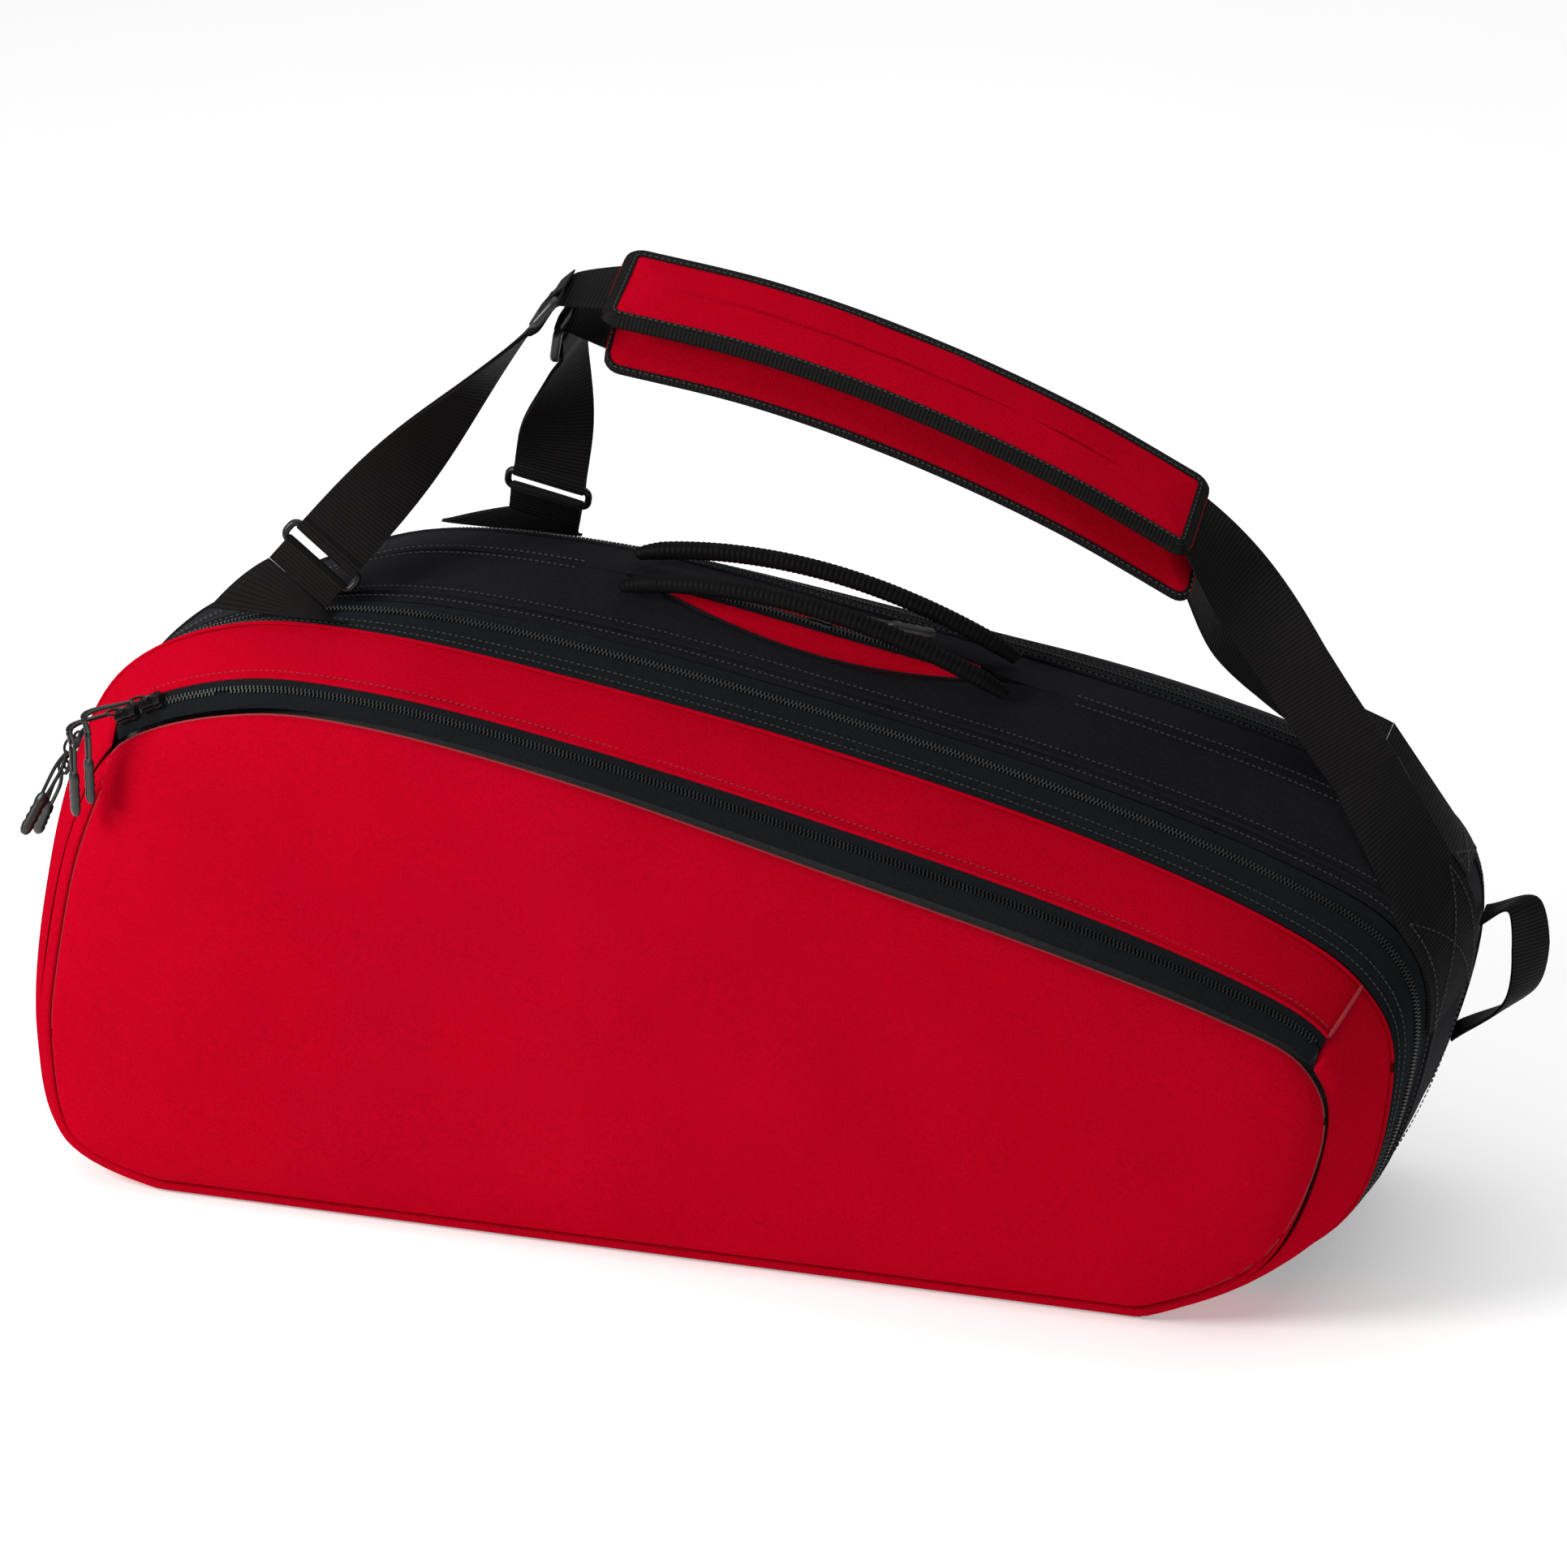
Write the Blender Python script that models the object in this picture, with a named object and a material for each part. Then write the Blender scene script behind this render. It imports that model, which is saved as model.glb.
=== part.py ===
"""Racket tournament bag with two zipped main compartments, a front pocket, a centre pocket,
two carry handles, two padded shoulder straps and a haul loop.

Metres, +Z up. X runs along the bag, -Y is the front, and the origin is on the underside of the base.
"""

from math import cos, pi, radians, sin

import bmesh
import bpy
from mathutils import Matrix, Vector

# Side outlines of the bag as (x, z), from the bottom left corner over the top to the bottom right corner.
# The same point of each list lies on the same line along the bag's skin.
FRONT_OUTLINE = [(-0.322, 0.000), (-0.380, 0.024), (-0.392, 0.083), (-0.386, 0.140), (-0.368, 0.215),
                 (-0.338, 0.268), (-0.272, 0.293), (-0.200, 0.294), (-0.088, 0.275), (0.040, 0.243),
                 (0.172, 0.209), (0.262, 0.182), (0.307, 0.160), (0.318, 0.118), (0.290, 0.042),
                 (0.222, 0.000)]
SEAM_OUTLINE = [(-0.328, 0.000), (-0.390, 0.022), (-0.405, 0.080), (-0.402, 0.150), (-0.383, 0.230),
                (-0.350, 0.292), (-0.285, 0.325), (-0.200, 0.327), (-0.088, 0.312), (0.040, 0.289),
                (0.172, 0.257), (0.275, 0.221), (0.328, 0.188), (0.346, 0.140), (0.325, 0.052),
                (0.250, 0.000)]
SPINE_OUTLINE = [(-0.330, 0.000), (-0.394, 0.024), (-0.408, 0.082), (-0.404, 0.150), (-0.384, 0.232),
                 (-0.345, 0.284), (-0.283, 0.320), (-0.200, 0.353), (-0.088, 0.352), (0.040, 0.330),
                 (0.172, 0.304), (0.290, 0.272), (0.362, 0.238), (0.374, 0.172), (0.335, 0.056),
                 (0.262, 0.000)]
REAR_OUTLINE = [(-0.322, 0.000), (-0.380, 0.024), (-0.391, 0.080), (-0.386, 0.140), (-0.366, 0.212),
                (-0.330, 0.247), (-0.268, 0.266), (-0.198, 0.270), (-0.088, 0.282), (0.040, 0.288),
                (0.172, 0.276), (0.270, 0.252), (0.332, 0.212), (0.346, 0.150), (0.318, 0.050),
                (0.245, 0.000)]
OUTLINE_STEPS = 3           # points between two outline points
END_RUN = 0.060             # straight run of the outline along the ground before its first corner
BAND_COLUMNS = 4            # points across a strip of skin
FOOT_PARTS = 8              # parts of a panel's straight foot
BASE_ROWS = 11
SMOOTH_ANGLE = radians(40)

# Depths of the seams from the spine, front and rear alike
PANEL_Y = 0.105
POCKET_ZIP_Y = 0.094
POCKET_TEETH_Y = 0.0995
SEAM_Y = 0.060
TEETH_Y = 0.047
TAPE_Y = 0.040
DIVIDER_Y = 0.036
EDGE_ROUND = 0.5            # how quickly the skin turns over the front edge
TOP_ROUND = 0.7             # how quickly it rises from the seam to the spine
REAR_ROUND = 3.0            # how late it falls away behind the spine

# Fabrics and clearances
FABRIC = 0.003
LINING = 0.002
CLEARANCE = 0.0004
WALL_GAP = 0.0035           # from an inner wall to the skin that slopes over it
SWING_GAP = 0.0009          # between a swinging strap and the sewn piece that it hangs on
SEAT_LIFT = 0.0009          # from a sewn piece to the rounded skin under it
BASE_THICKNESS = 0.0025
BASE_GAP = 0.0009           # from the base panel to the skins that start beside it
BOARD_THICKNESS = 0.002
BOARD_INSET = 0.022
PANEL_THICKNESS = 0.006
PANEL_BULGE = 0.010
REAR_BULGE = 0.006
# Share of the outline, and of the bulge there
PANEL_PROFILE = [(0.12, 1.0), (0.55, 0.96), (0.86, 0.72), (0.965, 0.34), (1.0, 0.0)]
POCKET_DEPTH = 0.014        # from the front panel's seam to the pocket's back wall

# Points of the outline where the pocket zip starts and ends
POCKET_START = 5
POCKET_END = 12
POCKET_PARKING = 2          # outline steps at the zip's start that stay closed under the parked sliders

# Centre pocket, a lens along the spine between the carry handles
LENS_LEFT = -0.084
LENS_RIGHT = 0.124
LENS_HALF = 0.019
LENS_FULLNESS = 0.8         # below 1 makes the lens blunter than a sine
CENTRE_ZIP_HALF = 0.0035
POCKET_FLOOR_DROP = 0.110

# Carry handles
HANDLE_RADIUS = 0.0052
FRONT_HANDLE_RISE = 0.027
FRONT_HANDLE_LEAN = radians(25)  # how far a handle leans to the front at rest
REAR_HANDLE_RISE = 0.022
REAR_HANDLE_LEAN = radians(8)
HANDLE_SPREAD = 0.0145      # from the spine to a handle's feet
HANDLE_SEAT = 0.0003        # from a handle's foot to the skin that slopes under it
HANDLE_FULLNESS = 0.75      # below 1 makes the arch rise faster than a sine
HANDLE_PARTS = 14

# Webbing, rings and straps
WEBBING = 0.040
WEBBING_THICKNESS = 0.002
TAB_BASE = 0.080
TAB_THICKNESS = 0.003
TAB_LIFT = 0.0042           # middle of a tab's base above the seam that it is sewn on
FRONT_TAB_STEP = 19
REAR_TAB_STEP = 22
LOOP_LENGTH = 0.012
LOOP_THICKNESS = 0.003
RING_WIRE = 0.002
RING_HALF_HEIGHT = 0.0055
RING_SIDE_GAP = 0.001
LOCK_LENGTH = 0.022
LOCK_MARGIN = 0.004
LOCK_BAR = 0.003
LOCK_THICKNESS = 0.005
PAD_WIDTH = 0.062
PAD_EDGE = 0.003
PAD_CROWN = 0.009
PAD_ROWS = 16
PAD_COLUMNS = 7
PAD_EDGE_POWER = 4          # how late a pad thins towards its edges
ADJUSTER_PARTS = 10
LOCK_TWIST = 0.85           # how far the webbing turns from its ring to the pad's own tilt
STUB_LEAD = 0.020           # straight lead of a strap where it leaves a piece
STUB_STEPS = 5
REAR_TURN = 0.25            # share of the front strap's twist that the rear strap has at its sewn end
FRONT_SEWN_STEPS = 4
REAR_SEWN_STEPS = 2
SEWN_COLUMNS = 5
SEWN_Y = 0.0205             # from the spine to the middle of a sewn end
HAUL_WIDTH = 0.024
HAUL_REACH = 0.030
HAUL_Y = 0.024
HAUL_STEPS = 2
HAUL_SHOULDER = (-0.1, 0.7) # share of the way down, and of the reach
HAUL_BELLY = (0.6, 1.0)
HAUL_PARTS = 4

# Sliders and pulls
SLIDER_LENGTH = 0.013
SLIDER_WIDTH = 0.009
SLIDER_HEIGHT = 0.0045
SLIDER_BEVEL = 0.0012
SLIDER_PITCH = 0.016
PULL_CORD = 0.0012
PULL_GRIP = 0.0034
PULL_BAIL = 0.010
PULL_CORD_LENGTH = 0.026
PULL_GRIP_LENGTH = 0.026
PULL_SHOULDER = 0.12        # share of the grip over which it swells from the cord
PULL_TIP = 0.8              # width of the grip's tip as a share of its widest part
MAIN_SLIDER_POINT = 4       # outline point on the left end where the main zips' sliders meet
SLIDER_SEAT = 0.0008
PULL_LEAN = 0.1             # how far a pull leans out from the skin
CENTRE_PULL_LEAN = 0.1
PULL_FAN = 0.28             # how far two pulls on one zip spread
POCKET_SLIDER_SEAT = 0.0012
POCKET_SLIDER_LEAN = 0.5    # how far the pocket's sliders turn to the front
POCKET_SLIDER_PLACES = (0.42, 1.15)  # in outline steps from the zip's start
POCKET_PULL_GRIPS = (4.6, 2.0)       # grip radii from the panel's corner to each hanging pull
POCKET_TRAVELS = (2.4, 4.0)  # outline steps along which the arc of each slider is fitted to the zip

# Points chosen along the straps
FRONT_RING_POINT = Vector((-0.2405, -0.0505, 0.3655))
FRONT_LOCK_POINT = Vector((-0.1225, -0.014, 0.5065))
REAR_RING_POINT = Vector((-0.145, 0.050, 0.3745))
REAR_LOCK_POINT = Vector((-0.1225, 0.024, 0.4815))
PAD_LINE = [Vector((-0.092, 0.0, 0.5150)), Vector((-0.010, 0.0, 0.5025)), Vector((0.070, 0.0, 0.4810)),
            Vector((0.150, 0.0, 0.4510)), Vector((0.2235, 0.0, 0.4150))]
REAR_PAD_DROP = 0.019
FRONT_PAD_TILT = radians(17)
REAR_PAD_TILT = radians(36)
FRONT_FALL = [Vector((0.255, -0.003, 0.372)), Vector((0.297, -0.010, 0.315)), Vector((0.3185, -0.013, 0.288))]
REAR_FALL = [Vector((0.236, 0.020, 0.345)), Vector((0.280, 0.030, 0.303)), Vector((0.320, 0.026, 0.287))]
FALL_STEPS = 4

# Colours, with roughness
FINISHES = {
    "red_fabric": ((0.55, 0.01, 0.02), 0.85),
    "black_fabric": ((0.018, 0.018, 0.020), 0.85),
    "black_webbing": ((0.010, 0.010, 0.011), 0.70),
    "zip_tape": ((0.012, 0.016, 0.017), 0.75),
    "black_plastic": ((0.008, 0.008, 0.008), 0.35),
    "black_metal": ((0.010, 0.010, 0.010), 0.30),
    "grey_lining": ((0.120, 0.120, 0.125), 0.90),
}


def new_collection(name):
    collection = bpy.data.collections.new(name)
    bpy.context.scene.collection.children.link(collection)
    return collection


def new_finish(name):
    colour, roughness = FINISHES[name]
    material = bpy.data.materials.new(name)
    material.use_nodes = True
    shader = material.node_tree.nodes["Principled BSDF"]
    shader.inputs["Base Color"].default_value = (*colour, 1.0)
    shader.inputs["Roughness"].default_value = roughness
    shader.inputs["Metallic"].default_value = 1.0 if name == "black_metal" else 0.0
    return material


for leftover in list(bpy.data.objects):
    bpy.data.objects.remove(leftover, do_unlink=True)
BAG = new_collection("racket_tournament_bag")
MATERIALS = {name: new_finish(name) for name in FINISHES}


def add_joint(name, place):
    """An empty on a joint's axis, which carries the pieces that move about it."""
    joint = bpy.data.objects.new(name, None)
    joint.location = place
    BAG.objects.link(joint)
    return joint


def add_object(name, data, finish, joint=None):
    """Link one named piece, carried by the empty of the joint that it moves on."""
    item = bpy.data.objects.new(name, data)
    BAG.objects.link(item)
    data.materials.append(MATERIALS[finish])
    if joint is not None:
        item.parent = joint
        item.matrix_parent_inverse = Matrix.Translation(-joint.location)
    return item


def add_mesh(name, build, finish, joint=None):
    """Turn a filled bmesh into a piece with its faces outward."""
    bmesh.ops.recalc_face_normals(build, faces=build.faces)
    mesh = bpy.data.meshes.new(name)
    build.to_mesh(mesh)
    build.free()
    mesh.shade_smooth()
    mesh.set_sharp_from_angle(angle=SMOOTH_ANGLE)
    return add_object(name, mesh, finish, joint)


def sheet(name, top, bottom, finish, joint=None):
    """Close the space between two grids of points that have the same rows and columns."""
    build = bmesh.new()
    upper = [[build.verts.new(p) for p in row] for row in top]
    lower = [[build.verts.new(p) for p in row] for row in bottom]
    rows = len(top)
    columns = len(top[0])
    for r in range(rows - 1):
        for c in range(columns - 1):
            build.faces.new((upper[r][c], upper[r][c + 1], upper[r + 1][c + 1], upper[r + 1][c]))
            build.faces.new((lower[r][c], lower[r + 1][c], lower[r + 1][c + 1], lower[r][c + 1]))
    for c in range(columns - 1):
        for r in (0, rows - 1):
            build.faces.new((upper[r][c], lower[r][c], lower[r][c + 1], upper[r][c + 1]))
    for r in range(rows - 1):
        for c in (0, columns - 1):
            build.faces.new((upper[r][c], upper[r + 1][c], lower[r + 1][c], lower[r][c]))
    return add_mesh(name, build, finish, joint)


def loft(rings):
    """Join closed rings of points in order and fill the two end rings."""
    build = bmesh.new()
    loops = [[build.verts.new(p) for p in ring] for ring in rings]
    count = len(rings[0])
    for near, far in zip(loops, loops[1:]):
        for k in range(count):
            n = (k + 1) % count
            build.faces.new((near[k], near[n], far[n], far[k]))
    build.faces.new(loops[0])
    build.faces.new(loops[-1])
    return build


def tube(name, points, radius, finish, cyclic=False, swell=None, joint=None):
    """A round wire or cord along hand-picked points; swell gives each point's share of the radius."""
    curve = bpy.data.curves.new(name, "CURVE")
    curve.dimensions = "3D"
    curve.bevel_depth = radius
    curve.bevel_resolution = 1
    curve.use_fill_caps = True
    spline = curve.splines.new("POLY")
    spline.points.add(len(points) - 1)
    for k, point in enumerate(points):
        spline.points[k].co = (*point, 1.0)
        spline.points[k].radius = swell[k] if swell else 1.0
    spline.use_cyclic_u = cyclic
    return add_object(name, curve, finish, joint)


def through(points, steps, before=None, after=None):
    """A smooth open curve through the points, with the same number of steps between each two."""
    ahead = after if after is not None else points[-1] * 2 - points[-2]
    behind = before if before is not None else points[0] * 2 - points[1]
    knots = [behind, *points, ahead]
    result = []
    for k in range(1, len(knots) - 2):
        a, b, c, d = knots[k - 1:k + 3]
        for s in range(steps):
            t = s / steps
            result.append(0.5 * (2 * b + (c - a) * t + (2 * a - 5 * b + 4 * c - d) * t * t
                                 + (3 * b - a - 3 * c + d) * t ** 3))
    result.append(points[-1].copy())
    return result


# The bag's skin

def arch(outline):
    points = [Vector(p) for p in outline]
    along = Vector((END_RUN, 0.0))
    return through(points, OUTLINE_STEPS, points[0] + along, points[-1] - along)


FRONT_ARCH = arch(FRONT_OUTLINE)
SEAM_ARCH = arch(SEAM_OUTLINE)
SPINE_ARCH = arch(SPINE_OUTLINE)
REAR_ARCH = arch(REAR_OUTLINE)
LAST = len(FRONT_ARCH) - 1


def section(y):
    """The side outline at one depth, front to rear."""
    if y < -SEAM_Y:
        share = max(0.0, (y + PANEL_Y) / (PANEL_Y - SEAM_Y)) ** EDGE_ROUND
        return [a.lerp(b, share) for a, b in zip(FRONT_ARCH, SEAM_ARCH)]
    if y < 0.0:
        share = ((y + SEAM_Y) / SEAM_Y) ** TOP_ROUND
        return [a.lerp(b, share) for a, b in zip(SEAM_ARCH, SPINE_ARCH)]
    share = min(1.0, y / PANEL_Y) ** REAR_ROUND
    return [a.lerp(b, share) for a, b in zip(SPINE_ARCH, REAR_ARCH)]


def tangent(outline, i):
    if i in (0, LAST):
        return Vector((-1.0, 0.0))
    return (outline[i + 1] - outline[i - 1]).normalized()


def skin(i, y, depth=0.0):
    """A point of the skin at outline step i, moved inward by depth."""
    outline = section(y)
    run = tangent(outline, i)
    point = outline[i] + Vector((run.y, -run.x)) * depth
    return Vector((point.x, y, point.y))


def inset_outline(y, depth, floor):
    """The outline at one depth, moved inward and kept above a floor."""
    outline = section(y)
    points = []
    for i, p in enumerate(outline):
        run = tangent(outline, i)
        q = p + Vector((run.y, -run.x)) * depth
        points.append(Vector((q.x, floor if i in (0, LAST) else max(q.y, floor))))
    return points


def band(name, finish, edges, first=0, last=LAST, depth=FABRIC, joint=None):
    """A strip of the skin between the depths that edges gives at each step."""
    steps = range(first, last + 1)
    top = [[skin(i, y) for y in edges(i)] for i in steps]
    bottom = [[skin(i, y, depth) for y in edges(i)] for i in steps]
    return sheet(name, top, bottom, finish, joint)


def even(low, high, count):
    return [low + (high - low) * k / (count - 1) for k in range(count)]


def wall(name, y, thickness, depth, finish, joint=None):
    """A flat inner wall that fills the skin's outline at one depth."""
    floor = BASE_THICKNESS + BOARD_THICKNESS + 2 * CLEARANCE
    outline = inset_outline(y, depth, floor)
    rings = [[Vector((p.x, y + side * thickness / 2, p.y)) for p in outline] for side in (-1, 1)]
    return add_mesh(name, loft(rings), finish, joint)


# Joint points
FRONT_HINGE = add_joint("front_shell_hinge", Vector((0.0, -PANEL_Y - CLEARANCE, 0.0)))
REAR_HINGE = add_joint("rear_shell_hinge", Vector((0.0, PANEL_Y + CLEARANCE, 0.0)))
ZIP_FIRST = POCKET_START * OUTLINE_STEPS
ZIP_LAST = POCKET_END * OUTLINE_STEPS


def make_base():
    """Base panel under the whole bag and the stiff board that lies on it."""
    depths = even(-PANEL_Y + CLEARANCE, PANEL_Y - CLEARANCE, BASE_ROWS)
    left = [section(y)[0].x + BASE_GAP for y in depths]
    right = [section(y)[LAST].x - BASE_GAP for y in depths]

    def plate(name, inset, low, high, finish):
        top = []
        bottom = []
        for y, x0, x1 in zip(depths, left, right):
            shrunk = y * (1 - inset / PANEL_Y)
            ends = (x0 + inset, x1 - inset)
            top.append([Vector((x, shrunk, high)) for x in ends])
            bottom.append([Vector((x, shrunk, low)) for x in ends])
        return sheet(name, top, bottom, finish)

    plate("base_panel", 0.0, 0.0, BASE_THICKNESS, "black_fabric")
    low = BASE_THICKNESS + CLEARANCE
    plate("base_board", BOARD_INSET, low, low + BOARD_THICKNESS, "grey_lining")


def lens_half(x):
    """Half width of the centre pocket at one place along the bag."""
    if x <= LENS_LEFT or x >= LENS_RIGHT:
        return 0.0
    return LENS_HALF * sin(pi * (x - LENS_LEFT) / (LENS_RIGHT - LENS_LEFT)) ** LENS_FULLNESS


def lens_edge(i):
    """Half width of the centre pocket at one step of the outline."""
    return lens_half(SPINE_ARCH[i].x)


def make_core():
    """The fixed middle: skins either side of the spine, dividers and the centre pocket."""
    def front_edges(i):
        return even(-TAPE_Y + CLEARANCE, -lens_edge(i) - CLEARANCE, BAND_COLUMNS)

    def rear_edges(i):
        return even(lens_edge(i) + CLEARANCE, TAPE_Y - CLEARANCE, BAND_COLUMNS)

    band("core_front_panel", "black_fabric", front_edges)
    band("core_rear_panel", "black_fabric", rear_edges)
    for side, label in ((-1, "front"), (1, "rear")):
        edges = sorted((side * (TEETH_Y - CLEARANCE), side * (TAPE_Y + CLEARANCE)))
        band(f"{label}_zip_inner_tape", "zip_tape", lambda i, e=edges: e)
        wall(f"{label}_divider", side * DIVIDER_Y, LINING, FABRIC + WALL_GAP, "grey_lining")

    inside = [i for i in range(LAST + 1) if lens_edge(i) > CENTRE_ZIP_HALF + 4 * CLEARANCE]
    first, last = inside[0], inside[-1]

    def lens_front(i):
        return [-lens_edge(i) + CLEARANCE, -(lens_edge(i) + CENTRE_ZIP_HALF) / 2, -CENTRE_ZIP_HALF - CLEARANCE]

    def lens_rear(i):
        return [-y for y in reversed(lens_front(i))]

    band("centre_pocket_front_panel", "red_fabric", lens_front, first, last)
    band("centre_pocket_rear_panel", "red_fabric", lens_rear, first, last)
    band("centre_zip_tape", "zip_tape", lambda i: [-CENTRE_ZIP_HALF, 0.0, CENTRE_ZIP_HALF], first, last)
    spine = [skin(i, 0.0, FABRIC + POCKET_FLOOR_DROP) for i in (first, last)]
    reach = DIVIDER_Y - LINING / 2 - CLEARANCE
    top = [[Vector((p.x, y, p.z)) for y in (-reach, reach)] for p in spine]
    bottom = [[p - Vector((0, 0, LINING)) for p in row] for row in top]
    sheet("centre_pocket_floor", top, bottom, "grey_lining")


def make_shell(side, label, hinge):
    """One main compartment's opening shell: gusset and outer zip tape."""
    seam = SEAM_Y + CLEARANCE
    front_edge = PANEL_Y - CLEARANCE
    pocket_edge = POCKET_ZIP_Y - CLEARANCE

    def gusset_edges(i):
        zipped = side < 0 and ZIP_FIRST <= i <= ZIP_LAST
        outer = pocket_edge if zipped else front_edge
        return sorted(side * y for y in even(seam, outer, BAND_COLUMNS))

    band(f"{label}_gusset", "red_fabric" if side < 0 else "black_fabric", gusset_edges, joint=hinge)
    tape = sorted((side * (SEAM_Y - CLEARANCE), side * (TEETH_Y + CLEARANCE)))
    band(f"{label}_zip_outer_tape", "zip_tape", lambda i: tape, joint=hinge)


def closed_outline(outline):
    """The arch with points along its straight foot, as one closed ring."""
    foot = [outline[-1].lerp(outline[0], k / FOOT_PARTS) for k in range(1, FOOT_PARTS)]
    return outline + foot


def panel_mesh(outline, y, side, bulge, thickness):
    """A moulded panel whose face swells away from the bag."""
    ring = closed_outline(outline)
    centre = sum(ring, Vector((0.0, 0.0))) / len(ring)

    def rings(offset):
        result = []
        for share, rise in PANEL_PROFILE:
            depth = y + side * (bulge * rise + offset)
            points = [centre.lerp(p, share) for p in ring]
            result.append([Vector((p.x, depth, p.y)) for p in points])
        return result

    inner = rings(-thickness / 2)
    outer = rings(thickness / 2)
    return loft(inner + outer[::-1])


def make_front_panel():
    """The moulded front panel, folded along the line between the pocket zip's ends."""
    seat = -PANEL_Y - CLEARANCE - PANEL_THICKNESS / 2
    start = FRONT_ARCH[ZIP_FIRST]
    end = FRONT_ARCH[ZIP_LAST]
    axis_y = seat - PANEL_THICKNESS / 2 - PANEL_BULGE - CLEARANCE
    fold = Vector((start.x, axis_y, start.y))
    hinge = add_joint("pocket_flap_hinge", fold)
    upward = Vector((start.y - end.y, 0.0, end.x - start.x)).normalized()
    for name, keep, joint in (("front_panel", -1, FRONT_HINGE), ("pocket_flap", 1, hinge)):
        build = panel_mesh(FRONT_ARCH, seat, -1, PANEL_BULGE, PANEL_THICKNESS)
        geometry = build.verts[:] + build.edges[:] + build.faces[:]
        cut = bmesh.ops.bisect_plane(build, geom=geometry, plane_co=fold + upward * keep * CLEARANCE,
                                     plane_no=upward * keep, clear_inner=True, dist=1e-6)
        rim = [e for e in cut["geom_cut"] if isinstance(e, bmesh.types.BMEdge)]
        bmesh.ops.contextual_create(build, geom=rim)
        add_mesh(name, build, "red_fabric", joint)
    return hinge


def make_pocket(flap_hinge):
    """The front pocket's back wall and the two halves of its zip."""
    wall("pocket_back_wall", -PANEL_Y + POCKET_DEPTH, LINING, FABRIC + WALL_GAP, "grey_lining", FRONT_HINGE)
    parked = ZIP_FIRST + POCKET_PARKING
    lower = [-PANEL_Y + CLEARANCE, -POCKET_TEETH_Y - CLEARANCE]

    def upper(i):
        low = -PANEL_Y if i <= parked else -POCKET_TEETH_Y
        return [low + CLEARANCE, -POCKET_ZIP_Y - CLEARANCE]

    band("pocket_zip_upper_tape", "zip_tape", upper, ZIP_FIRST, ZIP_LAST, LINING, FRONT_HINGE)
    band("pocket_zip_lower_tape", "zip_tape", lambda i: lower, parked + 1, ZIP_LAST, LINING, flap_hinge)


def make_rear_panel():
    seat = PANEL_Y + CLEARANCE + PANEL_THICKNESS / 2
    build = panel_mesh(REAR_ARCH, seat, 1, REAR_BULGE, PANEL_THICKNESS)
    add_mesh("rear_panel", build, "black_fabric", REAR_HINGE)


# Carry handles

def top_height(x, y):
    """Height of the skin at one place on the bag's top."""
    ridge = section(y)[MAIN_SLIDER_POINT * OUTLINE_STEPS:]
    for a, b in zip(ridge, ridge[1:]):
        if a.x <= x <= b.x:
            return a.y + (b.y - a.y) * (x - a.x) / (b.x - a.x)
    raise ValueError("no skin at this place")


def skin_normal(x, y):
    """Direction out of the bag's top at one place."""
    step = SLIDER_LENGTH / 2
    along = Vector((2 * step, 0.0, top_height(x + step, y) - top_height(x - step, y)))
    across = Vector((0.0, 2 * step, top_height(x, y + step) - top_height(x, y - step)))
    return along.cross(across).normalized()


def make_handle(side, label, height, lean):
    """One ribbed tube handle, arched between its feet beside the centre pocket."""
    y = side * HANDLE_SPREAD
    feet = [Vector((x, y, top_height(x, y))) for x in (LENS_LEFT, LENS_RIGHT)]
    rises = [height * sin(pi * k / HANDLE_PARTS) ** HANDLE_FULLNESS for k in range(HANDLE_PARTS + 1)]
    up = Vector((0.0, -sin(lean), cos(lean)))
    first = (feet[1] - feet[0]) / HANDLE_PARTS + up * rises[1]
    normal = skin_normal(LENS_LEFT, y)
    rim = HANDLE_RADIUS * (1 - normal.dot(first.normalized()) ** 2) ** 0.5
    lift = Vector((0.0, 0.0, (rim + HANDLE_SEAT) / normal.z))
    points = []
    for k, rise in enumerate(rises):
        points.append(feet[0].lerp(feet[1], k / HANDLE_PARTS) + lift + up * rise)
    joint = add_joint(f"{label}_handle_hinge", points[0])
    tube(f"{label}_handle", points, HANDLE_RADIUS, "black_webbing", joint=joint)


# Straps

def ribbon(name, rows, columns, finish, joint=None):
    """A flat strap; each row is centre, width direction, width, edge thickness and middle thickness."""
    top = []
    bottom = []
    for k, (centre, across, width, edge, middle) in enumerate(rows):
        ahead = rows[min(k + 1, len(rows) - 1)][0]
        behind = rows[max(k - 1, 0)][0]
        run = (ahead - behind).normalized()
        across = across.normalized()
        normal = run.cross(across).normalized()
        upper = []
        lower = []
        for c in range(columns):
            place = 2 * c / (columns - 1) - 1
            thick = edge + (middle - edge) * (1 - place ** PAD_EDGE_POWER)
            point = centre + across * (place * width / 2)
            upper.append(point + normal * thick / 2)
            lower.append(point - normal * thick / 2)
        top.append(upper)
        bottom.append(lower)
    return sheet(name, top, bottom, finish, joint)


def flat_rows(points, directions, width, thickness):
    """Rows of plain webbing whose width direction turns evenly through the given ones."""
    rows = []
    for k, point in enumerate(points):
        place = k / (len(points) - 1) * (len(directions) - 1)
        low = min(int(place), len(directions) - 2)
        across = directions[low].lerp(directions[low + 1], place - low)
        rows.append((point, across, width, thickness, thickness))
    return rows


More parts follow.
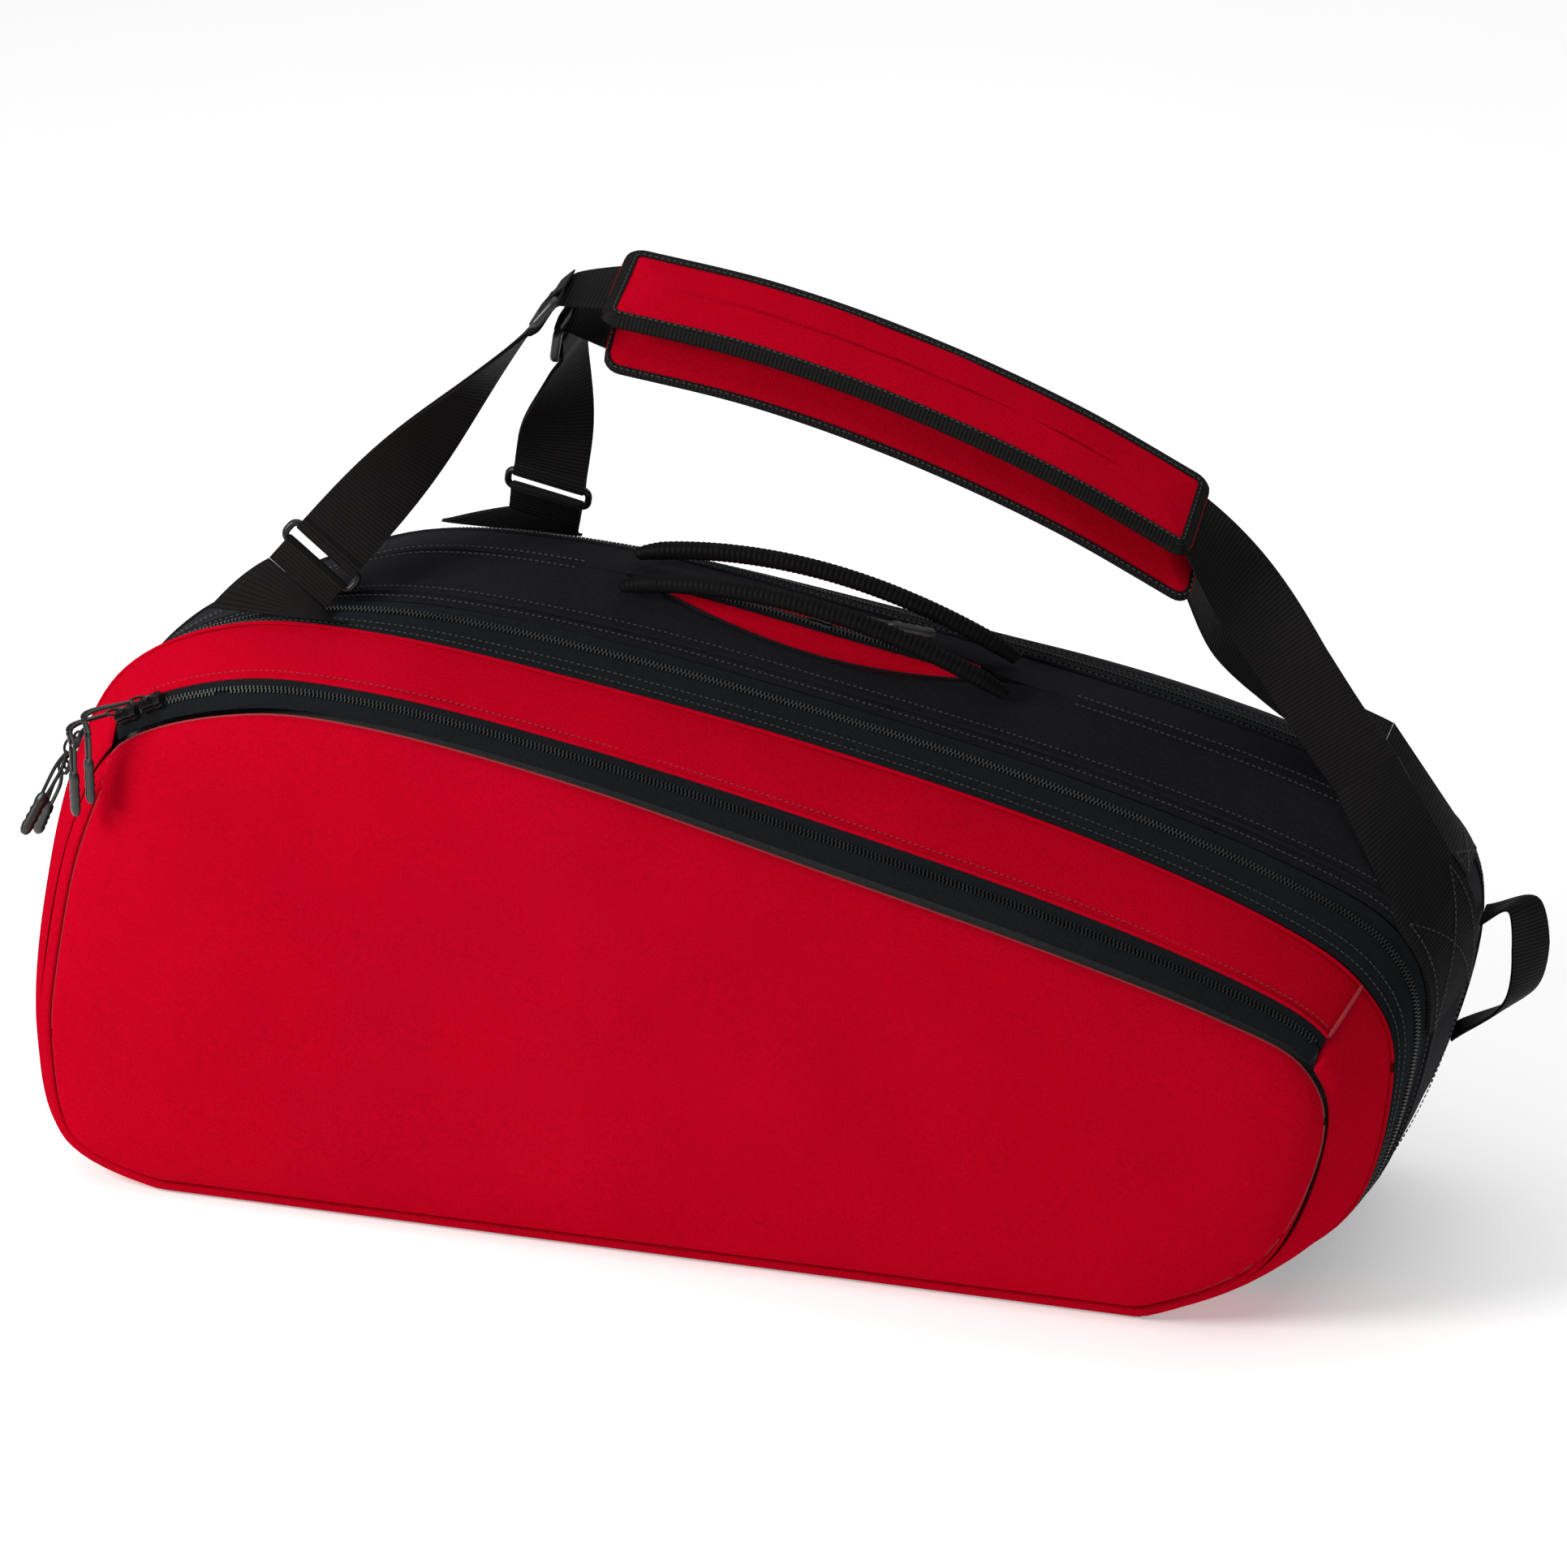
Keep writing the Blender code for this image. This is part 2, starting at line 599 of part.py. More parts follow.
def make_lock(name, centre, run, across, joint):
    """Ladder-lock frame with two webbing slots."""
    curve = bpy.data.curves.new(name, "CURVE")
    curve.dimensions = "2D"
    curve.fill_mode = "BOTH"
    curve.extrude = LOCK_THICKNESS / 2
    slot = (LOCK_LENGTH - 3 * LOCK_BAR) / 2
    boxes = [(0.0, WEBBING / 2 + LOCK_MARGIN, LOCK_LENGTH / 2)]
    for side in (-1, 1):
        boxes.append((side * (slot + LOCK_BAR) / 2, WEBBING / 2 + CLEARANCE, slot / 2))
    for middle, wide, tall in boxes:
        spline = curve.splines.new("POLY")
        spline.points.add(3)
        for k, (u, v) in enumerate(((-1, -1), (1, -1), (1, 1), (-1, 1))):
            spline.points[k].co = (u * wide, middle + v * tall, 0.0, 1.0)
        spline.use_cyclic_u = True
    item = add_object(name, curve, "black_plastic", joint)
    turn = Matrix((across, run, across.cross(run))).transposed().to_4x4()
    item.matrix_basis = Matrix.Translation(centre) @ turn


def make_ring(name, centre, run, across, joint):
    """Rectangular wire ring with cut corners."""
    half = WEBBING / 2 + RING_SIDE_GAP + RING_WIRE
    corner = RING_WIRE * 2
    points = []
    for u, v in ((1, 1), (-1, 1), (-1, -1), (1, -1)):
        ends = [(half, RING_HALF_HEIGHT - corner / 2), (half - corner, RING_HALF_HEIGHT)]
        for e, r in ends if u * v > 0 else reversed(ends):
            points.append(centre + across * u * e + run * v * r)
    tube(name, points, RING_WIRE, "black_metal", True, joint=joint)


def make_anchor(label, side, seam, ring, lock, pad_across, shell_hinge):
    """Sewn tab, webbing loop, ring, adjusting webbing and ladder-lock at a strap's left end."""
    run = (lock - ring).normalized()
    across = Vector((run.z, 0.0, -run.x)).normalized()
    facing = run.cross(across)
    level = (pad_across - run * pad_across.dot(run)).normalized()
    lock_across = across.lerp(level, LOCK_TWIST).normalized()
    bar = RING_HALF_HEIGHT + RING_WIRE + CLEARANCE
    loop_end = ring - run * bar
    loop_start = loop_end - run * LOOP_LENGTH
    tab_end = loop_start - run * SWING_GAP
    hinge = add_joint(f"{label}_strap_hinge", loop_start + facing * side * LOOP_THICKNESS / 2)
    tab = [(seam, Vector((1.0, 0.0, 0.0)), TAB_BASE, TAB_THICKNESS, TAB_THICKNESS),
           (tab_end, across, WEBBING, TAB_THICKNESS, TAB_THICKNESS)]
    ribbon(f"{label}_anchor_tab", tab, 2, "black_webbing", shell_hinge)
    loop = flat_rows([loop_start, loop_end], (across, across), WEBBING, LOOP_THICKNESS)
    ribbon(f"{label}_ring_loop", loop, 2, "black_webbing", hinge)
    make_ring(f"{label}_ring", ring, run, across, hinge)
    low = ring + run * bar
    high = lock - run * (LOCK_LENGTH / 2 + CLEARANCE)
    points = [low.lerp(high, k / ADJUSTER_PARTS) for k in range(ADJUSTER_PARTS + 1)]
    webbing = flat_rows(points, (across, lock_across), WEBBING, WEBBING_THICKNESS)
    ribbon(f"{label}_adjuster_webbing", webbing, 2, "black_webbing", hinge)
    make_lock(f"{label}_ladder_lock", lock, run, lock_across, hinge)
    return hinge, run, lock_across


def make_strap(label, side, seam, ring, lock, drop, tilt, fall, end_y, sewn_steps, shell_hinge):
    """One shoulder strap from its tab on the left to its sewn end on the right."""
    across = Vector((0.0, cos(tilt), sin(tilt)))
    hinge, run, lock_across = make_anchor(label, side, seam, ring, lock, across, shell_hinge)
    line = through([p - Vector((0.0, 0.0, drop)) for p in PAD_LINE], PAD_ROWS // (len(PAD_LINE) - 1))
    pad = [(p, across, PAD_WIDTH, PAD_EDGE, PAD_CROWN) for p in line]
    ribbon(f"{label}_strap_pad", pad, PAD_COLUMNS, "red_fabric", hinge)

    start = lock + run * (LOCK_LENGTH / 2 + SWING_GAP)
    onward = (line[1] - line[0]).normalized()
    end = line[0] - onward * SWING_GAP
    stub = through([start, end], STUB_STEPS, start - run * STUB_LEAD, line[0] + onward * STUB_LEAD)
    ribbon(f"{label}_pad_stub", flat_rows(stub, (lock_across, across), WEBBING, WEBBING_THICKNESS), 2,
           "black_webbing", hinge)

    away = (line[-1] - line[-2]).normalized()
    path = through([line[-1] + away * SWING_GAP, *fall], FALL_STEPS, line[-2])
    drop_run = (path[-1] - path[-2]).normalized()
    turned = Vector((-drop_run.z, 0.0, drop_run.x)).normalized()
    last = turned if side < 0 else (turned * REAR_TURN + Vector((0.0, 1.0, 0.0))).normalized()
    ribbon(f"{label}_fall_webbing", flat_rows(path, (across, last, last), WEBBING, WEBBING_THICKNESS), 2,
           "black_webbing", hinge)
    make_sewn_end(label, path[-1] + drop_run * SWING_GAP, drop_run, last, end_y, sewn_steps)


def make_sewn_end(label, start, run, across, y, steps):
    """The strap's right end, which turns onto the end of the bag and is sewn there."""
    first = POCKET_END * OUTLINE_STEPS
    places = even(-WEBBING / 2, WEBBING / 2, SEWN_COLUMNS)
    facing = run.cross(across).normalized() * WEBBING_THICKNESS / 2
    free = [start + across * place for place in places]
    sewn_top = []
    sewn_low = []
    for i in range(first, first + steps):
        sewn_top.append([skin(i, y + place, -SEAT_LIFT - WEBBING_THICKNESS) for place in places])
        sewn_low.append([skin(i, y + place, -SEAT_LIFT) for place in places])
    free_top = [p + facing for p in free]
    free_low = [p - facing for p in free]
    turn_top = [p.lerp(q, 0.5) for p, q in zip(free_top, sewn_top[0])]
    turn_low = [p.lerp(q, 0.5) for p, q in zip(free_low, sewn_low[0])]
    top = [free_top, turn_top, *sewn_top]
    bottom = [free_low, turn_low, *sewn_low]
    sheet(f"{label}_sewn_end", top, bottom, "black_webbing")


def make_haul_loop():
    """Loop of webbing sewn on the right end, below the rear strap's sewn end."""
    first = POCKET_END * OUTLINE_STEPS + REAR_SEWN_STEPS
    lift = SEAT_LIFT + WEBBING_THICKNESS / 2
    high = skin(first, HAUL_Y, -lift)
    low = skin(first + HAUL_STEPS, HAUL_Y, -lift)
    out = Vector((HAUL_REACH, 0.0, 0.0))
    middle = [high.lerp(low, down) + out * reach for down, reach in (HAUL_SHOULDER, HAUL_BELLY)]
    points = through([high, *middle, low], HAUL_PARTS)
    across = Vector((0.0, 1.0, 0.0))
    ribbon("haul_loop", flat_rows(points, (across, across), HAUL_WIDTH, WEBBING_THICKNESS), 2, "black_webbing")


# Sliders and their pulls

def make_slider(name, centre, run, outward, hang, lead, joint):
    """A zip slider on its tape, and the corded pull that leaves it along lead and then hangs."""
    build = bmesh.new()
    bmesh.ops.create_cube(build, size=1.0)
    side = outward.cross(run)
    frame = Matrix((run * SLIDER_LENGTH, side * SLIDER_WIDTH, outward * SLIDER_HEIGHT)).transposed().to_4x4()
    frame.translation = centre
    build.transform(frame)
    bmesh.ops.bevel(build, geom=build.edges[:], offset=SLIDER_BEVEL, segments=1, affect="EDGES")
    add_mesh(f"{name}_slider", build, "black_metal", joint)
    top = centre + outward * (SLIDER_HEIGHT / 2 + PULL_CORD + CLEARANCE)
    cord = top + lead
    grip = cord + hang * PULL_CORD_LENGTH
    tip = grip + hang * PULL_GRIP_LENGTH
    points = [top, cord, grip, grip.lerp(tip, PULL_SHOULDER), tip]
    share = PULL_GRIP / PULL_CORD
    swell = [1.0, 1.0, 1.0, share, share * PULL_TIP]
    hinge = add_joint(f"{name}_pull_hinge", top)
    tube(f"{name}_pull", points, PULL_CORD, "black_plastic", swell=swell, joint=hinge)


def along_skin(i, y):
    """Direction along the outline at one depth, and the direction out of the bag."""
    run = tangent(section(y), i)
    return Vector((run.x, 0.0, run.y)), Vector((-run.y, 0.0, run.x))


def make_main_sliders(side, label):
    """Two sliders that meet on the left end, with their pulls hanging side by side."""
    step = MAIN_SLIDER_POINT * OUTLINE_STEPS
    y = side * TEETH_Y
    run, outward = along_skin(step, y)
    seat = skin(step, y) + outward * (SLIDER_HEIGHT / 2 + SLIDER_SEAT)
    for shift, place in ((1, "upper"), (-1, "lower")):
        centre = seat + run * shift * SLIDER_PITCH / 2
        apart = Vector((0.0, side * shift * PULL_FAN, 0.0))
        hang = (-run + outward * PULL_LEAN + apart).normalized()
        joint = add_joint(f"{label}_{place}_slide", centre)
        make_slider(f"{label}_{place}", centre, run, outward, hang, hang * PULL_BAIL, joint)


def on_pocket_zip(place):
    """A point of the pocket zip's teeth, at a place counted in outline steps from the zip's start."""
    step = int(place)
    near = skin(ZIP_FIRST + step, -POCKET_TEETH_Y)
    return near.lerp(skin(ZIP_FIRST + step + 1, -POCKET_TEETH_Y), place - step)


def arc_centre(a, b, c):
    """Centre of the arc through three points at one depth."""
    first, second = b - a, c - a
    turn = 2 * (first.x * second.z - first.z * second.x)
    x = (second.z * first.length_squared - first.z * second.length_squared) / turn
    z = (first.x * second.length_squared - second.x * first.length_squared) / turn
    return a + Vector((x, 0.0, z))


def make_pocket_sliders():
    """Two sliders at the start of the pocket zip, whose pulls hang in front of the panel's left edge."""
    run, outward = along_skin(ZIP_FIRST + 1, -POCKET_TEETH_Y)
    outward = (outward - Vector((0.0, POCKET_SLIDER_LEAN, 0.0))).normalized()
    forward = PANEL_BULGE + PANEL_THICKNESS + PULL_GRIP + SLIDER_WIDTH
    down = Vector((0.0, 0.0, -1.0))
    for k in range(2):
        place, travel = POCKET_SLIDER_PLACES[k], POCKET_TRAVELS[k]
        route = [on_pocket_zip(place + travel * share) for share in (0.0, 0.5, 1.0)]
        joint = add_joint(f"pocket_{k + 1}_slide_centre", arc_centre(*route))
        centre = route[0] + outward * (SLIDER_HEIGHT / 2 + POCKET_SLIDER_SEAT)
        left = FRONT_ARCH[ZIP_FIRST].x - PULL_GRIP * POCKET_PULL_GRIPS[k] - centre.x
        make_slider(f"pocket_{k + 1}", centre, run, outward, down, Vector((left, -forward, 0.0)), joint)


def make_centre_slider():
    """The centre pocket's slider, with its pull lying along the zip."""
    x = (LENS_LEFT + LENS_RIGHT) / 2
    rise = top_height(x + SLIDER_LENGTH, 0.0) - top_height(x - SLIDER_LENGTH, 0.0)
    run = Vector((2 * SLIDER_LENGTH, 0.0, rise)).normalized()
    outward = Vector((-run.z, 0.0, run.x))
    centre = Vector((x, 0.0, top_height(x, 0.0))) + outward * (SLIDER_HEIGHT / 2 + SLIDER_SEAT)
    hang = (run + outward * CENTRE_PULL_LEAN).normalized()
    make_slider("centre", centre, run, outward, hang, hang * PULL_BAIL, add_joint("centre_slide", centre))


make_base()
make_core()
make_shell(-1, "front", FRONT_HINGE)
make_shell(1, "rear", REAR_HINGE)
make_pocket(make_front_panel())
make_rear_panel()
make_handle(-1, "front", FRONT_HANDLE_RISE, FRONT_HANDLE_LEAN)
make_handle(1, "rear", REAR_HANDLE_RISE, REAR_HANDLE_LEAN)
make_strap("front", -1, skin(FRONT_TAB_STEP, -SEAM_Y, -TAB_LIFT), FRONT_RING_POINT, FRONT_LOCK_POINT, 0.0,
           FRONT_PAD_TILT, FRONT_FALL, -SEWN_Y, FRONT_SEWN_STEPS, FRONT_HINGE)
make_strap("rear", 1, skin(REAR_TAB_STEP, SEAM_Y, -TAB_LIFT), REAR_RING_POINT, REAR_LOCK_POINT, REAR_PAD_DROP,
           REAR_PAD_TILT, REAR_FALL, SEWN_Y, REAR_SEWN_STEPS, REAR_HINGE)
make_haul_loop()
make_main_sliders(-1, "front")
make_main_sliders(1, "rear")
make_pocket_sliders()
make_centre_slider()
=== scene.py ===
"""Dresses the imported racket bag: panels, zips, webbing, padded straps, hardware and a pale studio."""

from functools import lru_cache
from math import cos, pi, radians, sin

import bpy
import numpy as np
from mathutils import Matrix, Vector, noise


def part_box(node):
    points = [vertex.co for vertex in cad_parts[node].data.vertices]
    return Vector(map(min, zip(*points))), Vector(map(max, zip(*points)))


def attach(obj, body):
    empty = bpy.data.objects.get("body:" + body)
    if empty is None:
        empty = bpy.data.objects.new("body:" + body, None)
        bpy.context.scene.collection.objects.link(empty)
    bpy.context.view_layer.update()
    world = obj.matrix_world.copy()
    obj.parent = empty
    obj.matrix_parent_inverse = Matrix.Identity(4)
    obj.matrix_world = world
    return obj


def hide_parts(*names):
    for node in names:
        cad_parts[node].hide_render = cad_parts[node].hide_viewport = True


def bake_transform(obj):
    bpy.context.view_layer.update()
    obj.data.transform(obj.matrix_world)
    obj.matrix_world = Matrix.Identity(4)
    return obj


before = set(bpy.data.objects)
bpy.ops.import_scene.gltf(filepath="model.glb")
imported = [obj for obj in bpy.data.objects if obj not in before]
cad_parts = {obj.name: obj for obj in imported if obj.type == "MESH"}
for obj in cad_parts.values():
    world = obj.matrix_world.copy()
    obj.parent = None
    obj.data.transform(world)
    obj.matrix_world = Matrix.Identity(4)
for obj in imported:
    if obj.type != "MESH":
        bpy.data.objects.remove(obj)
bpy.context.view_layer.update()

bl_info = {
    "name": "Racket Tournament Bag",
    "version": (1, 0, 0),
    "blender": (4, 5, 0),
    "location": "View3D > Sidebar > Racket Bag",
    "description": "Dresses the packed racket bag with fabric, zips, webbing and padded straps",
    "category": "Object",
}

# Side outlines of the bag as (x, z) in metres, from the bottom left corner over the top to the bottom right
FRONT_OUTLINE = [(-0.322, 0.000), (-0.380, 0.024), (-0.392, 0.083), (-0.386, 0.140), (-0.368, 0.215),
                 (-0.338, 0.268), (-0.272, 0.293), (-0.200, 0.294), (-0.088, 0.275), (0.040, 0.243),
                 (0.172, 0.209), (0.262, 0.182), (0.307, 0.160), (0.318, 0.118), (0.290, 0.042),
                 (0.222, 0.000)]
SEAM_OUTLINE = [(-0.328, 0.000), (-0.390, 0.022), (-0.405, 0.080), (-0.402, 0.150), (-0.383, 0.230),
                (-0.350, 0.292), (-0.285, 0.325), (-0.200, 0.327), (-0.088, 0.312), (0.040, 0.289),
                (0.172, 0.257), (0.275, 0.221), (0.328, 0.188), (0.346, 0.140), (0.325, 0.052),
                (0.250, 0.000)]
SPINE_OUTLINE = [(-0.330, 0.000), (-0.394, 0.024), (-0.408, 0.082), (-0.404, 0.150), (-0.384, 0.232),
                 (-0.345, 0.284), (-0.283, 0.320), (-0.200, 0.353), (-0.088, 0.352), (0.040, 0.330),
                 (0.172, 0.304), (0.290, 0.272), (0.362, 0.238), (0.374, 0.172), (0.335, 0.056),
                 (0.262, 0.000)]
REAR_OUTLINE = [(-0.322, 0.000), (-0.380, 0.024), (-0.391, 0.080), (-0.386, 0.140), (-0.366, 0.212),
                (-0.330, 0.247), (-0.268, 0.266), (-0.198, 0.270), (-0.088, 0.282), (0.040, 0.288),
                (0.172, 0.276), (0.270, 0.252), (0.332, 0.212), (0.346, 0.150), (0.318, 0.050),
                (0.245, 0.000)]
STEPS = 10                  # fine steps between two outline points
CAD_STEPS = 3               # the solids' own steps between two outline points
END_RUN = 0.060             # straight run of the outline along the ground before its first corner
LEFT_POINT = 4              # outline point where the main sliders stand, and from which the top is searched

# Depths of the seams from the spine
PANEL_Y = 0.105
POCKET_ZIP_Y = 0.094
POCKET_TEETH_Y = 0.0995
SEAM_Y = 0.060
TEETH_Y = 0.047
TAPE_Y = 0.040
DIVIDER_Y = 0.036
RIDGE_Y = 0.033             # piped seam on the core panel
EDGE_ROUND = 0.5            # how quickly the skin turns over the front edge
TOP_ROUND = 0.7             # how quickly it rises from the seam to the spine
REAR_ROUND = 3.0            # how late it falls away behind the spine
OUTWARD_REACH = 0.0005      # depth either side over which the outward direction is taken

# Fabric, base and inner walls
LOOK = "look_"              # keeps these materials apart from the plain ones of the solids
GAP = 0.0004                # between two sewn edges
SEAT = 0.0009               # from a sewn piece to what lies under or beside it
PUCKER_SIZE = 0.06          # size of the soft unevenness in fabric
DIP_WIDTH = 0.0028          # how far from a sewn side fabric tucks in
BASE_THICKNESS = 0.0025
BOARD_THICKNESS = 0.002
BOARD_INSET = 0.022
BASE_ROWS = 60
BASE_COLUMNS = 24
WALL_INSET = 0.0065         # from an inner wall's edge to the skin
WALL_SHARES = [0.02, 0.3, 0.6, 0.85, 1.0]
FLOOR_TOP = BASE_THICKNESS + BOARD_THICKNESS + 2 * GAP
POCKET_DEPTH = 0.014        # from the front panel's seam to the pocket's back wall

# Stitches, zip teeth and piping
END_STEPS = 2               # fine steps left free of stitches and teeth at each end of the outline
STITCH_SHARE = 0.68         # length of a stitch as a share of its pitch
STITCH_HEIGHT = 0.7         # height and rise of a stitch as shares of its thread
STITCH_RISE = 0.2
STITCH_CROWN = 0.62         # top of a stitch as a share of its foot
STITCH_SEAT = 0.0003        # stitches above a tape or webbing
CORE_STITCH_SEAT = 0.0006
SPINE_STITCHES = 0.0032     # from the spine to the stitches beside it
RIDGE_STITCHES = (-RIDGE_Y - 0.0034, -RIDGE_Y + 0.0036, RIDGE_Y + 0.0034)
ZIP_STITCHES = (0.0022, 0.0052)  # from a main seam to the rows on its zip tape
POCKET_STITCHES = 0.0030    # from the pocket's zip to the row on the gusset
LENS_CLEAR = 4              # fine steps from the centre pocket to the stitches on the spine
TOOTH_SHARE = 0.42          # length of a tooth as a share of its pitch
TOOTH_HEIGHT = 0.0013
TOOTH_RISE = 0.0003
TOOTH_SET = 0.0004          # how far a tooth's foot is set back over its tape
TOOTH_CROWN = 0.8
SEAM_SINK = 0.0004          # how far the main seams' piping lies in
POCKET_PIPING = 0.0002      # how far the pocket's piping lies in, and thin seams lie out

# Moulded panels
PANEL_DEPTH = 0.016         # how far the front panel stands out of its seam
REAR_DEPTH = 0.0115
PANEL_ROLL = 0.040          # width of a moulded panel's rounded border
ROLL_SHARE = 0.82           # share of a panel's swell that its border has
ROLL_POWER = 0.8
PANEL_WALL = 0.0045         # thickness of a moulded panel
PANEL_INSIDE = 0.9          # how closely its inside follows its outside
PANEL_PUCKER_SIZE = 0.09
PANEL_PUCKER = 0.0011
FRONT_FOOT = 0.0009375      # height of a panel's lower edge
REAR_FOOT = 0.002
FOOT_PARTS = 40
PANEL_INSETS = [0.0, 0.0007, 0.0016, 0.003, 0.0046, 0.0060, 0.0068, 0.0074, 0.0079, 0.0084, 0.0089, 0.0095,
                0.0103, 0.0115, 0.0132, 0.0155]
PANEL_SHARES = [0.02, 0.12, 0.22, 0.32, 0.41, 0.5, 0.58, 0.66, 0.73, 0.79, 0.84, 0.885, 0.92, 0.95, 0.975]
STRIP_WIDTH = 0.0085        # turned strip outside the front panel's seam, on the left and along the foot
STRIP_TAPER = 6             # fine steps over which it narrows to nothing
STRIP_RISE = 0.0052         # how far it stands out at its seam
STRIP_FULL = 0.008          # width from which it has its whole rise
GROOVE_DEPTH = 0.0022
GROOVE_HALF = 0.0011
GROOVE_FULL = 0.004         # width of strip from which the groove has its whole depth
FRONT_PIPING_RISE = 0.62    # how far the front piping follows the strip's rise
FRONT_PIPING_SHARE = 0.6    # its radius as a share of the other piping
FRONT_PIPING_OUT = 0.0010
REAR_PIPING_OUT = 0.0008

# Outline points where the pocket zip starts and ends
POCKET_START = 5
POCKET_END = 12
POCKET_PARKING = 2          # the solids' steps that stay closed under the parked sliders

# Centre pocket between the handles
LENS_LEFT = -0.084
LENS_RIGHT = 0.124
LENS_HALF = 0.019
LENS_FULLNESS = 0.8         # below 1 makes the lens blunter than a sine
LENS_PIPING = 0.0009
CENTRE_ZIP_HALF = 0.0035
CENTRE_FLOOR_DROP = 0.113
CENTRE_FLOOR_ROWS = 25
CENTRE_FLOOR_COLUMNS = 9

# Carry handles
HANDLE_SPREAD = 0.0145      # from the spine to a handle's feet
HANDLE_FULLNESS = 0.75      # below 1 makes the arch rise faster than a sine
HANDLE_PARTS = 420
HANDLE_RIB_RISE = 0.00042
HANDLE_RIB_FOOT = 0.0005    # how far the ribs start below the handle's own radius
HANDLE_FOOT_SHARE = 0.72    # radius of a handle's foot as a share of the rest
HANDLE_FOOT_LENGTH = 0.014

# Strap points in metres, with each pad's drop and tilt
STRAPS = {
    "front": {
        "side": -1, "tab_step": 19, "ring": (-0.2405, -0.0505, 0.3655), "lock": (-0.1225, -0.014, 0.5065),
        "drop": 0.0, "tilt": radians(17), "sewn_steps": 4,
        "fall": [(0.255, -0.003, 0.372), (0.297, -0.010, 0.315), (0.3185, -0.013, 0.288)],
    },
    "rear": {
        "side": 1, "tab_step": 22, "ring": (-0.145, 0.050, 0.3745), "lock": (-0.1225, 0.024, 0.4815),
        "drop": 0.019, "tilt": radians(36), "sewn_steps": 2,
        "fall": [(0.236, 0.020, 0.345), (0.280, 0.030, 0.303), (0.320, 0.026, 0.287)],
    },
}
PAD_LINE = [(-0.092, 0.0, 0.5150), (-0.010, 0.0, 0.5025), (0.070, 0.0, 0.4810), (0.150, 0.0, 0.4510),
            (0.2235, 0.0, 0.4150)]
WEBBING = 0.040
WEBBING_THICKNESS = 0.002
WEBBING_COLUMNS = 11
SELVEDGE = 0.72             # thickness of a webbing's edge as a share of its middle
LAYER = 0.0011              # one layer of doubled webbing
WRAP = 0.00265              # from a bar's middle to the middle of the webbing round it
TUCK = 0.008                # how far the webbing at each end of a pad reaches inside it
LEAD = 0.02                 # straight lead of the webbing where it meets a pad
SLIT = 0.0001               # left open between the falling webbing and its sewn end
REAR_TURN = 0.25            # share of the front strap's twist that the rear strap has at its sewn end
SWING_GAP = 0.0009          # between a swinging strap and the tab that it hangs on
SEWN_Y = 0.0205             # from the spine to the middle of a sewn end
SEWN_ROWS = 8               # rows of webbing between a fall's end and the skin
SEWN_STITCHES = 0.016       # from the middle of a sewn end to the stitches along its sides
TAB_BASE = 0.080
TAB_THICKNESS = 0.003
TAB_LIFT = 0.0042           # middle of a tab's base above the seam that it is sewn on
TAB_TAPER = 0.8             # below 1 makes a tab narrow sooner
TAB_ROWS = 13
TAB_COLUMNS = 13
LOOP_LENGTH = 0.012
RING_HALF_HEIGHT = 0.0055
RING_WIRE = 0.002
RING_SIDE_GAP = 0.001
RING_CORNER = 0.004
LOCK_LENGTH = 0.022
LOCK_TWIST = 0.85           # how far the webbing turns from its ring to the pad's own tilt
LOCK_MARGIN = 0.003
LOCK_CORNER = 0.003
LOCK_END = 0.0018           # from a lock's end to the middle of its frame
LOCK_FRAME = 0.0022         # radii of the frame and the two bars
LOCK_MIDDLE_BAR = 0.0017
LOCK_END_BAR = 0.0020
LOCK_BAR_SET = 0.001        # how far the end bar is set in from the frame
HAUL_WIDTH = 0.024
HAUL_Y = 0.024
HAUL_REACH = 0.030
HAUL_STEPS = 2              # the solids' steps from the sewn ends to the loop, and over which it spans
HAUL_SHOULDER = (-0.1, 0.7)  # share of the way down, and of the reach
HAUL_BELLY = (0.6, 1.0)

# Shoulder pads
PAD_PARTS = 24              # parts of a pad's line between two of its points
PAD_INSETS = [0.0, 0.0006, 0.002, 0.004, 0.007, 0.011, 0.016, 0.021, 0.026]
PAD_MIDDLE = 0.0012         # half width of the innermost ring
PAD_RIM = 0.75              # height of a pad's rim as a share of its edge
PAD_FULL = 0.9              # share of the half width at which a pad has its whole thickness
PAD_SWELL = 2.2
PAD_PUFF = 0.0008           # unevenness of a pad, reached at PUFF_INSET from its edge
PUFF_INSET = 0.01
PUFF_SCALE = (28, 40)       # along and across the pad
PAD_REACH = 0.004           # length either side over which a pad's direction is taken
PAD_LEAST_CORNER = 0.0010
PAD_CORNER_PARTS = 6
PAD_SIDE_PARTS = 80
PAD_END_PARTS = 14
BINDING_LIFT = 0.0007
BINDING_EDGE = 0.0002       # binding's cut edges and its stitches above what they lie on
BINDING_STITCHES = 0.0016   # from the binding's inner side to its stitches
BINDING_WEAVE = 0.002

# Sliders and pulls: a slider's plates as (along, half width), and its arched lug as (along, out)
SLIDER_PLATE = [(-0.0065, 0.0028), (-0.0045, 0.0038), (0.0, 0.0033), (0.0035, 0.0044), (0.0065, 0.0036)]
SLIDER_LUG = [(-0.0048, 0.0018), (-0.0040, 0.0038), (-0.0012, 0.0046), (0.0020, 0.0043), (0.0040, 0.0034),
              (0.0048, 0.0018)]
PLATE_OUT = 0.0013
PLATE_HALF = 0.0007
BRIDGE_ALONG = 0.004
BRIDGE_SIZE = (0.004, 0.0024, 0.0030)
POCKET_SLIDER_LEAN = 0.5    # how far the pocket's sliders turn to the front
SLIDER_REACH = 0.013
PULL_OUT = 0.00385          # from a slider's middle to the top of its pull
BAIL_WIRE = 0.0008
BAIL_LENGTH = 0.010
BAIL_HALF = 0.0030
